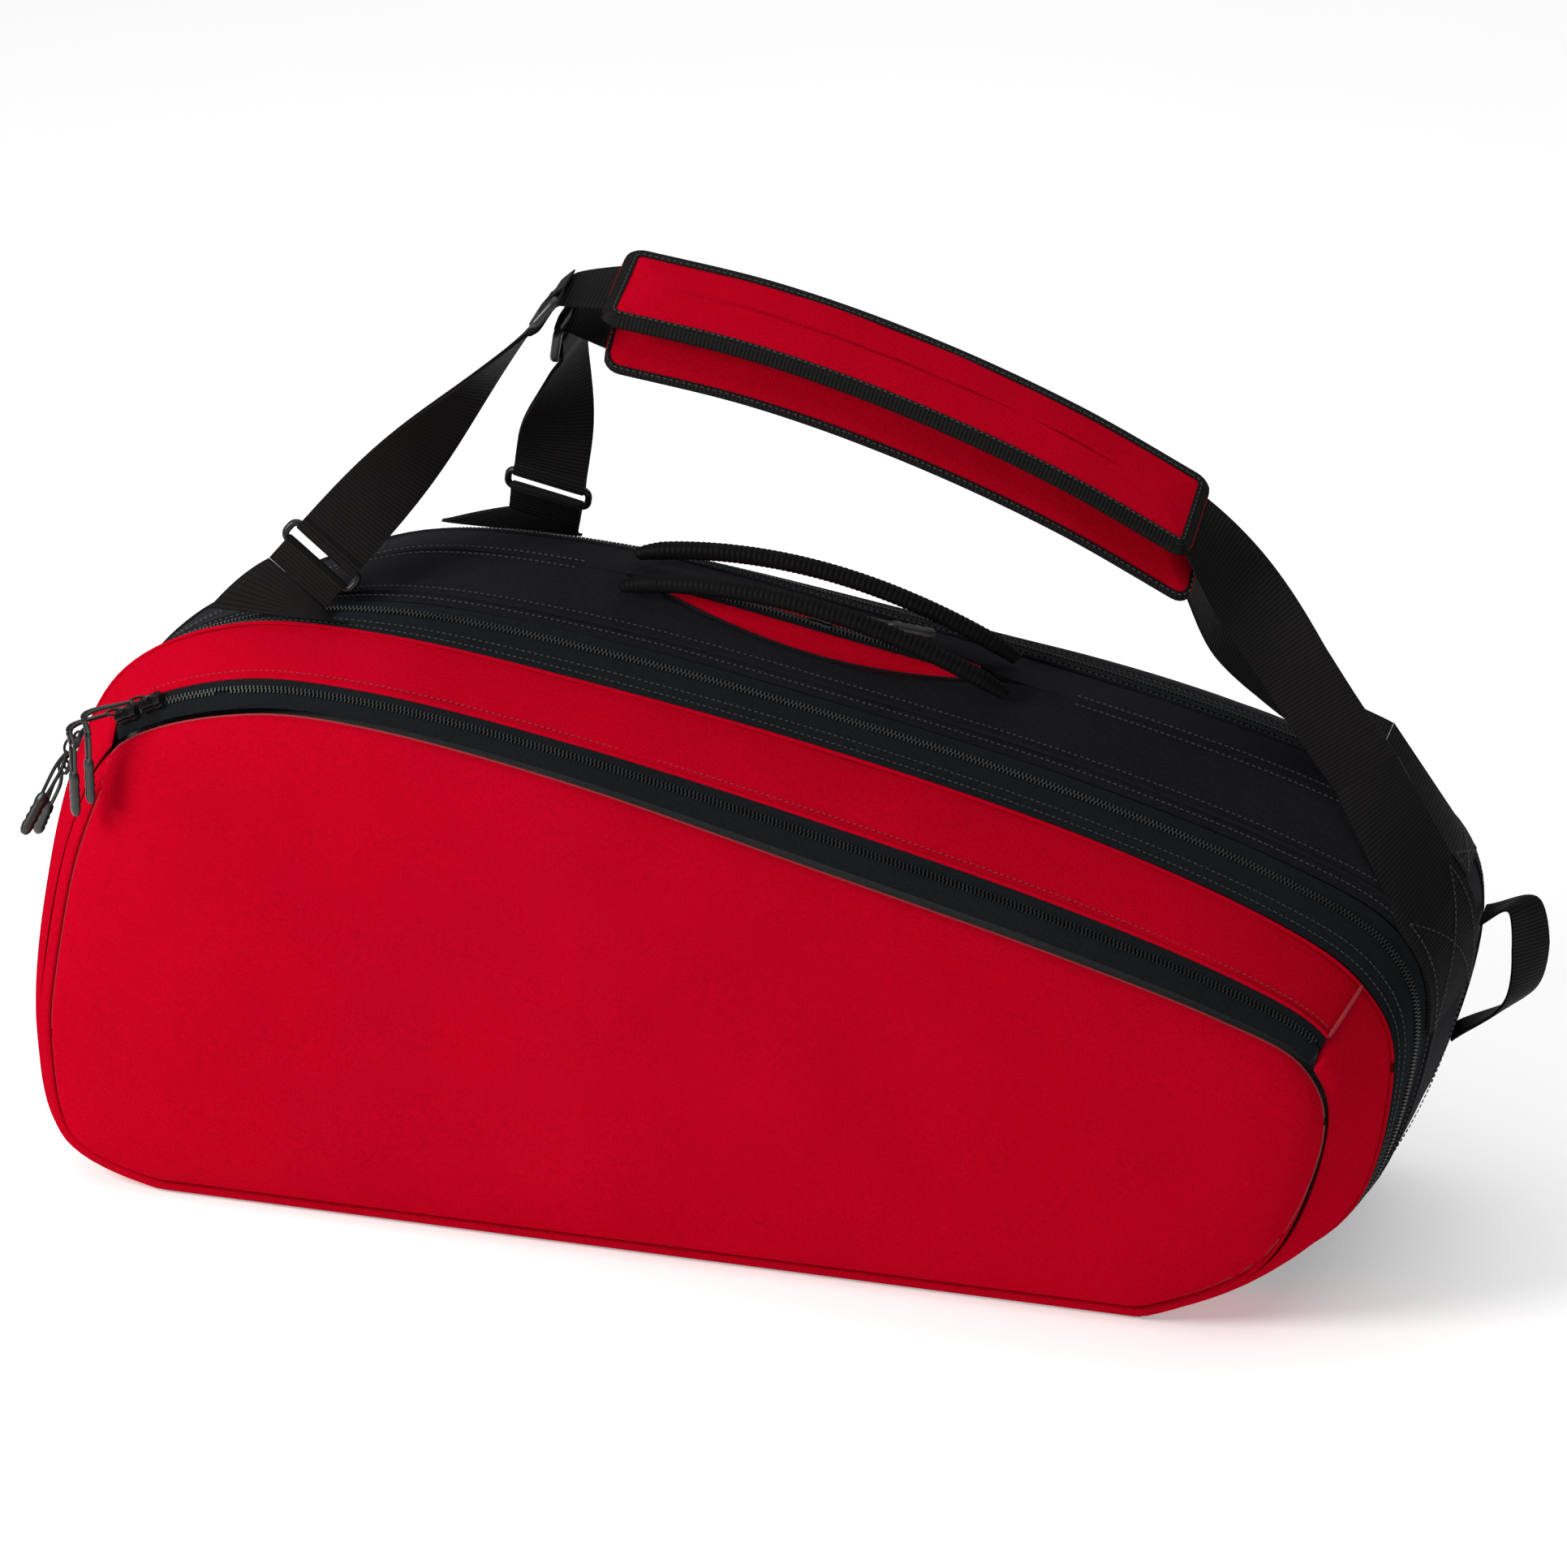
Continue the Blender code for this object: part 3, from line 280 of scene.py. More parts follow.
BAIL_PARTS = 20
CORD_RADIUS = 0.0011
CORD_LENGTH = 0.026
CORD_APART = 0.0012         # half the distance between the doubled cord's ends, and at its middle
CORD_BELLY = 0.0018
CORD_LOW = 0.004            # how far the cord reaches into its grip
GRIP_LENGTH = 0.026
GRIP_RADIUS = 0.0036
GRIP_FLAT = 0.72
GRIP_PROFILE = [(0.0, 0.55), (0.08, 0.92), (0.2, 1.0), (0.34, 0.84), (0.42, 1.0), (0.52, 0.84), (0.60, 1.0),
                (0.70, 0.84), (0.78, 0.98), (0.92, 0.86), (1.0, 0.52)]
PULL_LOW = 0.004            # height over a pocket pull's lowest point that counts as its tip
PULL_END = 0.0005
PULL_NEAR = 0.006           # the same for the other pulls, as a distance

# Stage
SENSOR = 36.0
KEY_PLACE = Vector((-1.15, -1.0, 1.05))
KEY_SIZE = 0.7
FILL_PLACE = Vector((1.9, -1.6, 0.9))
FILL_SIZE = 1.6
TOP_PLACE = Vector((0.0, 0.9, 3.0))
TOP_TARGET = Vector((0.0, 0.9, 0.0))
TOP_SIZE = 5.2
WARM = (1.0, 0.98, 0.96)
COOL = (0.96, 0.98, 1.0)
WHITE = (1.0, 1.0, 1.0)

UP = Vector((0.0, 0.0, 1.0))
ALONG = Vector((1.0, 0.0, 0.0))
BACK = Vector((0.0, 1.0, 0.0))


# Curves and the bag's skin

def curve_through(points, parts, before=None, after=None):
    """A smooth open curve through the points, with the same number of parts between each two."""
    points = [Vector(p) for p in points]
    behind = before if before is not None else points[0] * 2 - points[1]
    ahead = after if after is not None else points[-1] * 2 - points[-2]
    knots = [behind, *points, ahead]
    result = []
    for k in range(1, len(knots) - 2):
        a, b, c, d = knots[k - 1:k + 3]
        for s in range(parts):
            t = s / parts
            result.append(0.5 * (2 * b + (c - a) * t + (2 * a - 5 * b + 4 * c - d) * t * t
                                 + (3 * b - a - 3 * c + d) * t ** 3))
    result.append(points[-1].copy())
    return result


def arch(outline):
    """A smooth outline that leaves the ground along it at both ends."""
    first, last = Vector(outline[0]), Vector(outline[-1])
    along = Vector((END_RUN, 0.0))
    return curve_through(outline, STEPS, first + along, last - along)


FRONT_ARCH = arch(FRONT_OUTLINE)
SEAM_ARCH = arch(SEAM_OUTLINE)
SPINE_ARCH = arch(SPINE_OUTLINE)
REAR_ARCH = arch(REAR_OUTLINE)
LAST = len(FRONT_ARCH) - 1
ZIP_FIRST = POCKET_START * STEPS
ZIP_LAST = POCKET_END * STEPS


def cad_step(step):
    """A step of the solids' outline on the fine outline."""
    return round(step * STEPS / CAD_STEPS)


@lru_cache(maxsize=None)
def section(y):
    """The side outline at one depth, front to rear."""
    if y < -SEAM_Y:
        share = max(0.0, (y + PANEL_Y) / (PANEL_Y - SEAM_Y)) ** EDGE_ROUND
        return [a.lerp(b, share) for a, b in zip(FRONT_ARCH, SEAM_ARCH)]
    if y < 0.0:
        share = ((y + SEAM_Y) / SEAM_Y) ** TOP_ROUND
        return [a.lerp(b, share) for a, b in zip(SEAM_ARCH, SPINE_ARCH)]
    share = min(1.0, y / PANEL_Y) ** REAR_ROUND
    return [a.lerp(b, share) for a, b in zip(SPINE_ARCH, REAR_ARCH)]


def skin(i, y, lift=0.0):
    """A point of the skin at outline step i and depth y, moved outward by lift."""
    outline = section(round(y, 6))
    if i in (0, LAST):
        run = Vector((-1.0, 0.0))
    else:
        run = (outline[i + 1] - outline[i - 1]).normalized()
    point = outline[i] + Vector((-run.y, run.x)) * lift
    return Vector((point.x, y, point.y))


def outward(i, y):
    """Direction out of the skin at outline step i and depth y."""
    along = skin(min(i + 1, LAST), y) - skin(max(i - 1, 0), y)
    across = skin(i, y + OUTWARD_REACH) - skin(i, y - OUTWARD_REACH)
    return along.cross(across).normalized()


def top_height(x, y):
    """Height of the skin at one place on the bag's top."""
    ridge = section(round(y, 6))[LEFT_POINT * STEPS:]
    for a, b in zip(ridge, ridge[1:]):
        if a.x <= x <= b.x:
            return a.y + (b.y - a.y) * (x - a.x) / (b.x - a.x)
    raise ValueError("no skin at this place")


def lens_half(i):
    """Half width of the centre pocket at one step of the outline."""
    x = SPINE_ARCH[i].x
    if x <= LENS_LEFT or x >= LENS_RIGHT or i < LEFT_POINT * STEPS:
        return 0.0
    return LENS_HALF * sin(pi * (x - LENS_LEFT) / (LENS_RIGHT - LENS_LEFT)) ** LENS_FULLNESS


LENS_STEPS = [i for i in range(LAST + 1) if lens_half(i) > CENTRE_ZIP_HALF + 4 * GAP]


def skin_line(y, first=0, last=LAST, lift=0.0):
    """Points and outward directions along the skin at one depth."""
    steps = range(first, last + 1)
    normals = [outward(i, y) for i in steps]
    return [skin(i, y) + n * lift for i, n in zip(steps, normals)], normals


# Meshes

def as_array(points):
    return np.array([tuple(p) for p in points])


def running_length(places):
    """Length along an array of points up to each of them."""
    return np.concatenate([[0.0], np.cumsum(np.linalg.norm(np.diff(places, axis=0), axis=1))])


def grid_normals(top):
    """Outward directions of a grid of points, from its rows crossed with its columns."""
    along = np.gradient(top, axis=0)
    across = np.gradient(top, axis=1)
    normals = np.cross(along, across)
    lengths = np.linalg.norm(normals, axis=2, keepdims=True)
    return normals / np.maximum(lengths, 1e-12)


def unevenness(points, size, height, seed):
    """Soft random heights for fabric, the same each run."""
    flat = points.reshape(-1, 3)
    shift = Vector((seed * 1.7, seed * 0.9, seed * 2.3))
    heights = [noise.noise(Vector(p) / size + shift) * height for p in flat]
    return np.array(heights).reshape(*points.shape[:2], 1)


def lengths_along(top, axis):
    """Running length of a grid along one axis, averaged over the other, for the weave."""
    steps = np.linalg.norm(np.diff(top, axis=axis), axis=2).mean(axis=1 - axis)
    return np.concatenate([[0.0], np.cumsum(steps)])


def new_object(name, mesh, finish, inner=None):
    """An object with its finish and, if given, another for its inside."""
    item = bpy.data.objects.new(name, mesh)
    bpy.context.scene.collection.objects.link(item)
    mesh.materials.append(bpy.data.materials[LOOK + finish])
    if inner:
        mesh.materials.append(bpy.data.materials[LOOK + inner])
    return item


def set_weave(mesh, weave):
    """Store each vertex's place on the flat cloth, in metres, as the mesh's UV map."""
    layer = mesh.uv_layers.new(name="cloth")
    corners = np.empty(len(mesh.loops), dtype=np.int32)
    mesh.loops.foreach_get("vertex_index", corners)
    layer.uv.foreach_set("vector", np.asarray(weave, dtype=np.float32)[corners].ravel())


def shade(mesh, angle=40):
    mesh.shade_smooth()
    mesh.set_sharp_from_angle(angle=radians(angle))


def closed_sheet(name, top, bottom, finish, inner=None):
    """Cloth between two grids of points, with its edges closed and its weave laid along the rows."""
    rows, columns = top.shape[:2]
    count = rows * columns
    index = np.arange(count).reshape(rows, columns)
    a, b = index[:-1, :-1], index[1:, :-1]
    c, d = index[1:, 1:], index[:-1, 1:]
    faces = np.stack([a, b, c, d], axis=-1).reshape(-1, 4)
    under = np.stack([a, d, c, b], axis=-1).reshape(-1, 4) + count
    rim = np.concatenate([index[::-1, 0], index[0, 1:], index[1:, -1], index[-1, -2:0:-1]])
    ahead = np.roll(rim, -1)
    sides = np.stack([rim, ahead, ahead + count, rim + count], axis=-1)
    mesh = bpy.data.meshes.new(name)
    points = np.concatenate([top.reshape(-1, 3), bottom.reshape(-1, 3)])
    mesh.from_pydata(points.tolist(), [], np.concatenate([faces, under, sides]).tolist())
    across, along = np.meshgrid(lengths_along(top, 1), lengths_along(top, 0))
    weave = np.stack([across.ravel(), along.ravel()], axis=1)
    set_weave(mesh, np.concatenate([weave, weave]))
    shade(mesh, angle=50)
    item = new_object(name, mesh, finish, inner)
    if inner:
        inside = np.zeros(len(mesh.polygons), dtype=np.int32)
        inside[len(faces):len(faces) + len(under)] = 1
        mesh.polygons.foreach_set("material_index", inside)
    return item


def cloth(name, points, thickness, finish, inner=None, dip=0.0, soft=0.0, seed=1):
    """Fabric on a grid of points: it tucks in along its sewn sides and is a little uneven."""
    top = np.array([[tuple(p) for p in row] for row in points])
    normals = grid_normals(top)
    if soft:
        top = top + normals * unevenness(top, PUCKER_SIZE, soft, seed)
    if dip:
        across = lengths_along(top, 1)
        edge = np.minimum(across, across[-1] - across)
        top = top - normals * (dip * np.exp(-(edge / DIP_WIDTH) ** 2))[None, :, None]
    return closed_sheet(name, top, top - normals * thickness, finish, inner)


def place(item, body, slot, *nodes):
    """Fix a finished piece to its body and let it stand for its solids."""
    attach(item, body)
    if nodes:
        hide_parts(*nodes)
    return item


def join_parts(name, parts, finish):
    """One mesh from several (points, faces) lists."""
    points = []
    faces = []
    for some_points, some_faces in parts:
        base = len(points)
        points.extend(tuple(p) for p in some_points)
        faces.extend([tuple(base + k for k in face) for face in some_faces])
    mesh = bpy.data.meshes.new(name)
    mesh.from_pydata(points, [], faces)
    shade(mesh)
    return new_object(name, mesh, finish)


BLOCK_FACES = [(0, 1, 3, 2), (4, 6, 7, 5), (0, 4, 5, 1), (2, 3, 7, 6), (0, 2, 6, 4), (1, 5, 7, 3)]
CORNERS = [(u, v, w) for u in (-1, 1) for v in (-1, 1) for w in (-1, 1)]


def block(centre, run, across, up, sizes, crown=1.0):
    """A small block with its own directions; crown narrows its top."""
    length, width, height = (s / 2 for s in sizes)
    points = []
    for u, v, w in CORNERS:
        share = crown if w > 0 else 1.0
        points.append(centre + run * (u * length * share) + across * (v * width * share) + up * (w * height))
    return points, BLOCK_FACES


def tube_part(path, radii, sides=10, closed=False, up=UP, flat=1.0):
    """A round or flattened tube along a path, as points and faces."""
    count = len(path)
    points = []
    for k, centre in enumerate(path):
        if closed:
            run = path[(k + 1) % count] - path[k - 1]
        else:
            run = path[min(k + 1, count - 1)] - path[max(k - 1, 0)]
        run.normalize()
        across = run.cross(up)
        if across.length < 1e-4:
            across = run.cross(ALONG)
        across.normalize()
        normal = across.cross(run)
        radius = radii[k] if hasattr(radii, "__len__") else radii
        for s in range(sides):
            turn = 2 * pi * s / sides
            points.append(centre + across * (cos(turn) * radius) + normal * (sin(turn) * radius * flat))
    faces = []
    for k in range(count if closed else count - 1):
        near = k * sides
        far = (k + 1) % count * sides
        for s in range(sides):
            n = (s + 1) % sides
            faces.append((near + s, far + s, far + n, near + n))
    if not closed:
        faces.append(tuple(range(sides)))
        faces.append(tuple(reversed(range((count - 1) * sides, count * sides))))
    return points, faces


def along_path(wanted, run, values):
    """Values along a path at the wanted running lengths."""
    return np.stack([np.interp(wanted, run, values[:, k]) for k in range(3)], axis=1)


def evenly(path, pitch, normals):
    """Points at one pitch along a path, with their directions and normals."""
    places = as_array(path)
    run = running_length(places)
    wanted = np.arange(pitch / 2, run[-1], pitch)
    spots = [Vector(p) for p in along_path(wanted, run, places)]
    ahead = along_path(wanted + pitch / 4, run, places)
    behind = along_path(wanted - pitch / 4, run, places)
    runs = [Vector(v).normalized() for v in ahead - behind]
    ups = [Vector(n).normalized() for n in along_path(wanted, run, as_array(normals))]
    return spots, runs, ups


def stitches(name, lines, finish, body, slot):
    """Rows of stitches along (points, normals) lines, as one piece."""
    sizes = settings().sizes
    parts = []
    for path, normals in lines:
        for spot, run, up in zip(*evenly(path, sizes.stitch_pitch, normals)):
            shape = (sizes.stitch_pitch * STITCH_SHARE, sizes.thread, sizes.thread * STITCH_HEIGHT)
            middle = spot + up * sizes.thread * STITCH_RISE
            parts.append(block(middle, run, up.cross(run), up, shape, STITCH_CROWN))
    return place(join_parts(name, parts, finish), body, slot)


def zip_teeth(name, y, side, first, last, finish, body, slot):
    """One side's row of zip teeth along the skin; the other side's row fits between them."""
    sizes = settings().sizes
    path, normals = skin_line(y, first, last)
    spots, runs, ups = evenly(path, sizes.tooth_pitch, normals)
    parts = []
    for spot, run, up in zip(spots, runs, ups):
        toward = up.cross(run) * side
        shift = run * (side * sizes.tooth_pitch / 4)
        middle = spot + shift + toward * (sizes.tooth_reach / 2 - TOOTH_SET) + up * TOOTH_RISE
        shape = (sizes.tooth_pitch * TOOTH_SHARE, sizes.tooth_reach, TOOTH_HEIGHT)
        parts.append(block(middle, run, toward, up, shape, TOOTH_CROWN))
    return place(join_parts(name, parts, finish), body, slot)


def piping(name, path, radius, finish, body, slot, closed=False):
    """A thin sewn piping along a seam."""
    return place(join_parts(name, [tube_part(path, radius, 8, closed)], finish), body, slot)


# Materials

class Shader:
    """A material's nodes, made and linked in short steps."""

    def __init__(self, name):
        self.material = bpy.data.materials.new(LOOK + name)
        self.material.use_nodes = True
        self.tree = self.material.node_tree
        self.surface = self.tree.nodes["Principled BSDF"]

    def add(self, kind, inputs=None, **options):
        node = self.tree.nodes.new(kind)
        for key, value in options.items():
            setattr(node, key, value)
        for key, value in (inputs or {}).items():
            self.feed(node.inputs[key], value)
        return node

    def feed(self, socket, value):
        if isinstance(value, bpy.types.NodeSocket):
            self.tree.links.new(value, socket)
        else:
            socket.default_value = value

    def maths(self, operation, a, b):
        node = self.add("ShaderNodeMath", operation=operation)
        self.feed(node.inputs[0], a)
        self.feed(node.inputs[1], b)
        return node.outputs[0]

    def noise(self, scale, detail=2.0):
        coordinates = self.add("ShaderNodeTexCoord").outputs["Object"]
        inputs = {"Vector": coordinates, "Scale": scale, "Detail": detail}
        return self.add("ShaderNodeTexNoise", inputs).outputs["Fac"]

    def ribs(self, direction, pitch, distortion=0.0):
        """Even ribs across the flat cloth at one pitch in metres."""
        place_on_cloth = self.add("ShaderNodeUVMap", uv_map="cloth").outputs["UV"]
        inputs = {"Vector": place_on_cloth, "Scale": pi / 10 / pitch, "Distortion": distortion}
        return self.add("ShaderNodeTexWave", inputs, bands_direction=direction).outputs["Fac"]

    def span(self, value, low, high):
        inputs = {"Value": value, "To Min": low, "To Max": high}
        return self.add("ShaderNodeMapRange", inputs).outputs["Result"]

    def shades(self, value, dark, light):
        ramp = self.add("ShaderNodeValToRGB", {"Fac": value})
        ramp.color_ramp.elements[0].position = 0.28
        ramp.color_ramp.elements[0].color = (*dark, 1.0)
        ramp.color_ramp.elements[1].position = 0.74
        ramp.color_ramp.elements[1].color = (*light, 1.0)
        return ramp.outputs["Color"]

    def finish(self, colour, roughness, height, depth, strength=0.6):
        bump = self.add("ShaderNodeBump", {"Strength": strength, "Distance": depth, "Height": height})
        self.feed(self.surface.inputs["Base Color"], colour)
        self.feed(self.surface.inputs["Roughness"], roughness)
        self.feed(self.surface.inputs["Normal"], bump.outputs["Normal"])
        return self.material


def tinted(colour, share):
    return tuple(min(1.0, c * share) for c in colour)


def woven_fabric(name, colour, pitch, spread, sheen, gloss):
    """Coated plain weave: crossed ribs, fine grain and a slow drift of shade."""
    shader = Shader(name)
    weave = shader.maths("MULTIPLY", shader.ribs("X", pitch), shader.ribs("Y", pitch))
    grain = shader.noise(scale=900.0)
    drift = shader.noise(scale=14.0, detail=3.0)
    fine = shader.maths("MULTIPLY", grain, 0.75)
    mixed = shader.maths("ADD", fine, shader.maths("MULTIPLY", drift, 0.25))
    tint = tinted(colour, 1 / max(colour))
    colour = shader.shades(mixed, tinted(colour, 1 - spread), tinted(colour, 1 + spread))
    shader.surface.inputs["Sheen Weight"].default_value = sheen
    shader.surface.inputs["Sheen Roughness"].default_value = 0.5
    shader.surface.inputs["Sheen Tint"].default_value = (*tint, 1.0)
    shader.surface.inputs["Specular IOR Level"].default_value = gloss
    height = shader.maths("ADD", weave, grain)
    return shader.finish(colour, shader.span(grain, low=0.62, high=0.86), height, depth=0.00025)


def ribbed_webbing(name, colour, pitch):
    """Webbing with ribs across it and a fine twill along it; its colour is darker in the troughs and lighter
    on the crests as painted shade and painted highlight, mixed with a random grain.
    """
    shader = Shader(name)
    ribs = shader.ribs("Y", pitch, distortion=0.3)
    twill = shader.ribs("X", pitch * 0.55, distortion=0.6)
    height = shader.maths("ADD", ribs, shader.maths("MULTIPLY", twill, 0.45))
    grain = shader.noise(scale=600.0)
    mixed = shader.maths("MULTIPLY", shader.maths("ADD", height, grain), 0.42)
    # painted shade and highlight: the colour follows the ribs' and twill's height, darker in the troughs and
    # lighter on the crests, plus a random grain of tone
    colour = shader.shades(mixed, tinted(colour, 0.55), tinted(colour, 1.7))
    shader.surface.inputs["Specular IOR Level"].default_value = 0.07
    return shader.finish(colour, shader.span(grain, low=0.48, high=0.72), height, depth=0.0004)


def moulded_finish(name, colour, low, high, metallic):
    """Moulded plastic or enamelled metal with a fine orange-peel surface and worn gloss."""
    shader = Shader(name)
    peel = shader.noise(scale=420.0, detail=3.0)
    wear = shader.noise(scale=60.0, detail=4.0)
    colour = shader.shades(wear, tinted(colour, 0.7), tinted(colour, 1.5))
    shader.surface.inputs["Metallic"].default_value = metallic
    return shader.finish(colour, shader.span(wear, low, high), peel, depth=0.0001, strength=0.35)


def twisted_thread(name, colour):
    """Sewing thread with a twist of light and dark along it."""
    shader = Shader(name)
    twist = shader.noise(scale=1500.0)
    colour = shader.shades(twist, tinted(colour, 0.6), tinted(colour, 1.3))
    return shader.finish(colour, shader.span(twist, low=0.5, high=0.8), twist, depth=0.0001)


def floor_finish(name, colour, glow):
    """Plain studio floor, lit a little from within so that it stays white."""
    shader = Shader(name)
    drift = shader.noise(scale=3.0)
    colour = shader.shades(drift, tinted(colour, 0.985), colour)
    shader.surface.inputs["Emission Color"].default_value = (*WHITE, 1.0)
    shader.surface.inputs["Emission Strength"].default_value = glow
    rough = shader.span(drift, low=0.82, high=0.92)
    return shader.finish(colour, rough, shader.noise(scale=200.0), depth=0.0001, strength=0.1)


# Settings that a user would change

def number(name, description, default, **options):
    return bpy.props.FloatProperty(name=name, description=description, default=default, **options)


def length(name, description, default):
    return number(name, description, default, unit="LENGTH", precision=5)


def power(name, description, default):
    return number(name, description, default, unit="POWER")


def angle(name, description, degrees):
    return number(name, description, radians(degrees), subtype="ANGLE")


def colour(name, description, default):
    return bpy.props.FloatVectorProperty(name=name, description=description, default=default, size=3,
                                         subtype="COLOR", min=0.0, max=1.0)


class BagSizes(bpy.types.PropertyGroup):
    """Sizes of the bag's soft detail."""
    fabric: length("Fabric", "Thickness of the padded shell fabric", 0.0026)
    lining: length("Lining", "Thickness of inner walls", 0.0018)
    weave: length("Weave", "Pitch of the shell fabric's weave", 0.0011)
    rib: length("Webbing rib", "Pitch of the ribs on webbing", 0.0022)
    stitch_pitch: length("Stitch", "Length from stitch to stitch", 0.0034)
    thread: length("Thread", "Thickness of the sewing thread", 0.0007)
    tooth_pitch: length("Zip pitch", "Length from tooth to tooth", 0.0022)
    tooth_reach: length("Zip tooth", "How far a tooth reaches over its tape", 0.0026)
    piping: length("Piping", "Radius of the piping in the seams", 0.0012)
    handle_radius: length("Handle radius", "Radius of a carry handle", 0.0052)
    front_handle_rise: length("Front handle rise", "Height of the front handle's arch", 0.027)
    rear_handle_rise: length("Rear handle rise", "Height of the rear handle's arch", 0.022)
    front_handle_lean: angle("Front handle lean", "Lean of the front handle to the front", 25)
    rear_handle_lean: angle("Rear handle lean", "Lean of the rear handle to the front", 8)
    handle_rib: length("Handle rib", "Pitch of the ribs on a handle", 0.0030)
    pad_width: length("Pad width", "Width of a shoulder pad", 0.062)
    pad_crown: length("Pad crown", "Thickness of a pad in its middle", 0.0105)
    pad_edge: length("Pad edge", "Thickness of a pad at its edge", 0.003)
    pad_corner: length("Pad corner", "Radius of a pad's corners", 0.010)
    front_binding: length("Front binding", "Width of the binding on the front pad", 0.0075)
    rear_binding: length("Rear binding", "Width of the binding on the rear pad", 0.0028)


class BagFinishes(bpy.types.PropertyGroup):
    """Colours of the bag's materials."""
    red_fabric: colour("Red fabric", "Front panel, shoulder and pads", (0.42, 0.0012, 0.012))
    black_fabric: colour("Black fabric", "Core, rear and base", (0.0085, 0.0085, 0.0105))
    zip_tape: colour("Zip tape", "Woven tape of the zips", (0.0075, 0.0090, 0.0105))
    black_webbing: colour("Webbing", "Straps, tabs and handles", (0.0055, 0.0050, 0.0048))
    grey_lining: colour("Lining", "Inner walls", (0.10, 0.10, 0.105))
    black_plastic: colour("Plastic", "Ladder-locks and grips", (0.008, 0.008, 0.008))
    black_metal: colour("Metal", "Rings and sliders", (0.012, 0.012, 0.012))
    black_thread: colour("Black thread", "Stitches on black fabric", (0.022, 0.024, 0.026))
    red_thread: colour("Red thread", "Stitches on red fabric", (0.30, 0.002, 0.008))


class BagStage(bpy.types.PropertyGroup):
    """Floor, light and camera."""
    floor: colour("Floor", "Colour of the studio floor", (0.90, 0.90, 0.90))
    floor_size: length("Floor size", "Side of the floor", 12.0)
    glow: number("Floor glow", "Light that the floor gives off", 0.34)
    sky: number("Sky", "Strength of the even light all round", 0.13)
    key: power("Key light", "Power of the key light", 24.0)
    fill: power("Fill light", "Power of the fill light", 3.0)
    top: power("Top light", "Power of the overhead light", 90.0)
    azimuth: angle("Azimuth", "Camera's turn round the bag", 15)
    elevation: angle("Elevation", "Camera's height over the horizon", 25)
    distance: length("Distance", "From the camera to its target", 3.6)
    target_height: length("Target", "Height that the camera looks at", 0.238)
    lens: number("Lens", "Focal length in millimetres on the camera's sensor", 153.8)


class RacketBag(bpy.types.PropertyGroup):
    """All settings of the bag."""
    sizes: bpy.props.PointerProperty(type=BagSizes)
    finishes: bpy.props.PointerProperty(type=BagFinishes)
    stage: bpy.props.PointerProperty(type=BagStage)


def settings():
    return bpy.context.scene.racket_bag


# Finishes

def make_finishes():
    tones = settings().finishes
    sizes = settings().sizes
    woven_fabric("red_fabric", tones.red_fabric, sizes.weave, spread=0.20, sheen=0.03, gloss=0.0)
    woven_fabric("black_fabric", tones.black_fabric, sizes.weave, spread=0.45, sheen=0.02, gloss=0.03)
    woven_fabric("zip_tape", tones.zip_tape, sizes.weave, spread=0.35, sheen=0.02, gloss=0.03)
    woven_fabric("grey_lining", tones.grey_lining, sizes.weave, spread=0.20, sheen=0.05, gloss=0.10)
    ribbed_webbing("black_webbing", tones.black_webbing, sizes.rib)
    moulded_finish("black_plastic", tones.black_plastic, low=0.30, high=0.48, metallic=0.0)
    moulded_finish("black_metal", tones.black_metal, low=0.22, high=0.42, metallic=0.6)
    twisted_thread("black_thread", tones.black_thread)
    twisted_thread("red_thread", tones.red_thread)


# Panels

def skin_cloth(name, edges, columns, first, last, finish, ease=1.0, **options):
    """Cloth on the skin between the depths that edges gives at each step."""
    shares = [(c / (columns - 1)) ** ease for c in range(columns)]
    points = []
    for i in range(first, last + 1):
        low, high = edges(i)
        points.append([skin(i, low + (high - low) * s) for s in shares])
    return cloth(name, points, settings().sizes.fabric, finish, "grey_lining", **options)


def wall(name, y, body, node):
    """A flat inner wall that fills the skin's outline at one depth."""
    inside = [skin(i, y, -WALL_INSET) for i in range(LAST + 1)]
    outline = as_array(Vector((p.x, max(p.z, FLOOR_TOP))) for p in inside)
    middle = outline.mean(axis=0)
    top = np.stack([middle + (outline - middle) * share for share in WALL_SHARES])
    half = settings().sizes.lining / 2
    front = np.stack([top[..., 0], np.full(top.shape[:2], y - half), top[..., 1]], axis=-1)
    rear = front + np.array([0.0, 2 * half, 0.0])
    item = closed_disc(name, front, rear, "grey_lining")
    place(item, body, "grey_lining", node)


def edge_distance(points, outline):
    """Distance of each point to a closed outline."""
    along = np.roll(outline, -1, axis=0) - outline
    squared = np.maximum((along ** 2).sum(axis=1), 1e-12)
    offset = points[:, None, :] - outline[None]
    t = np.clip((offset * along[None]).sum(axis=2) / squared, 0, 1)
    gap = offset - along[None] * t[..., None]
    return np.sqrt((gap ** 2).sum(axis=2)).min(axis=1)


def inward(outline):
    """Directions into a closed outline that runs clockwise, at each of its points."""
    run = np.roll(outline, -1, axis=0) - np.roll(outline, 1, axis=0)
    run /= np.maximum(np.linalg.norm(run, axis=1, keepdims=True), 1e-12)
    return np.stack([run[:, 1], -run[:, 0]], axis=1)


def inner_rings(ring, insets, shares):
    """Rings inside a closed outline, from its middle outward, and each point's distance to the outline."""
    outline = as_array(ring)
    middle = outline.mean(axis=0)
    border = [outline + inward(outline) * inset for inset in insets]
    rings = [middle + (border[-1] - middle) * share for share in shares] + border[::-1]
    return np.stack(rings), np.stack([edge_distance(points, outline) for points in rings])


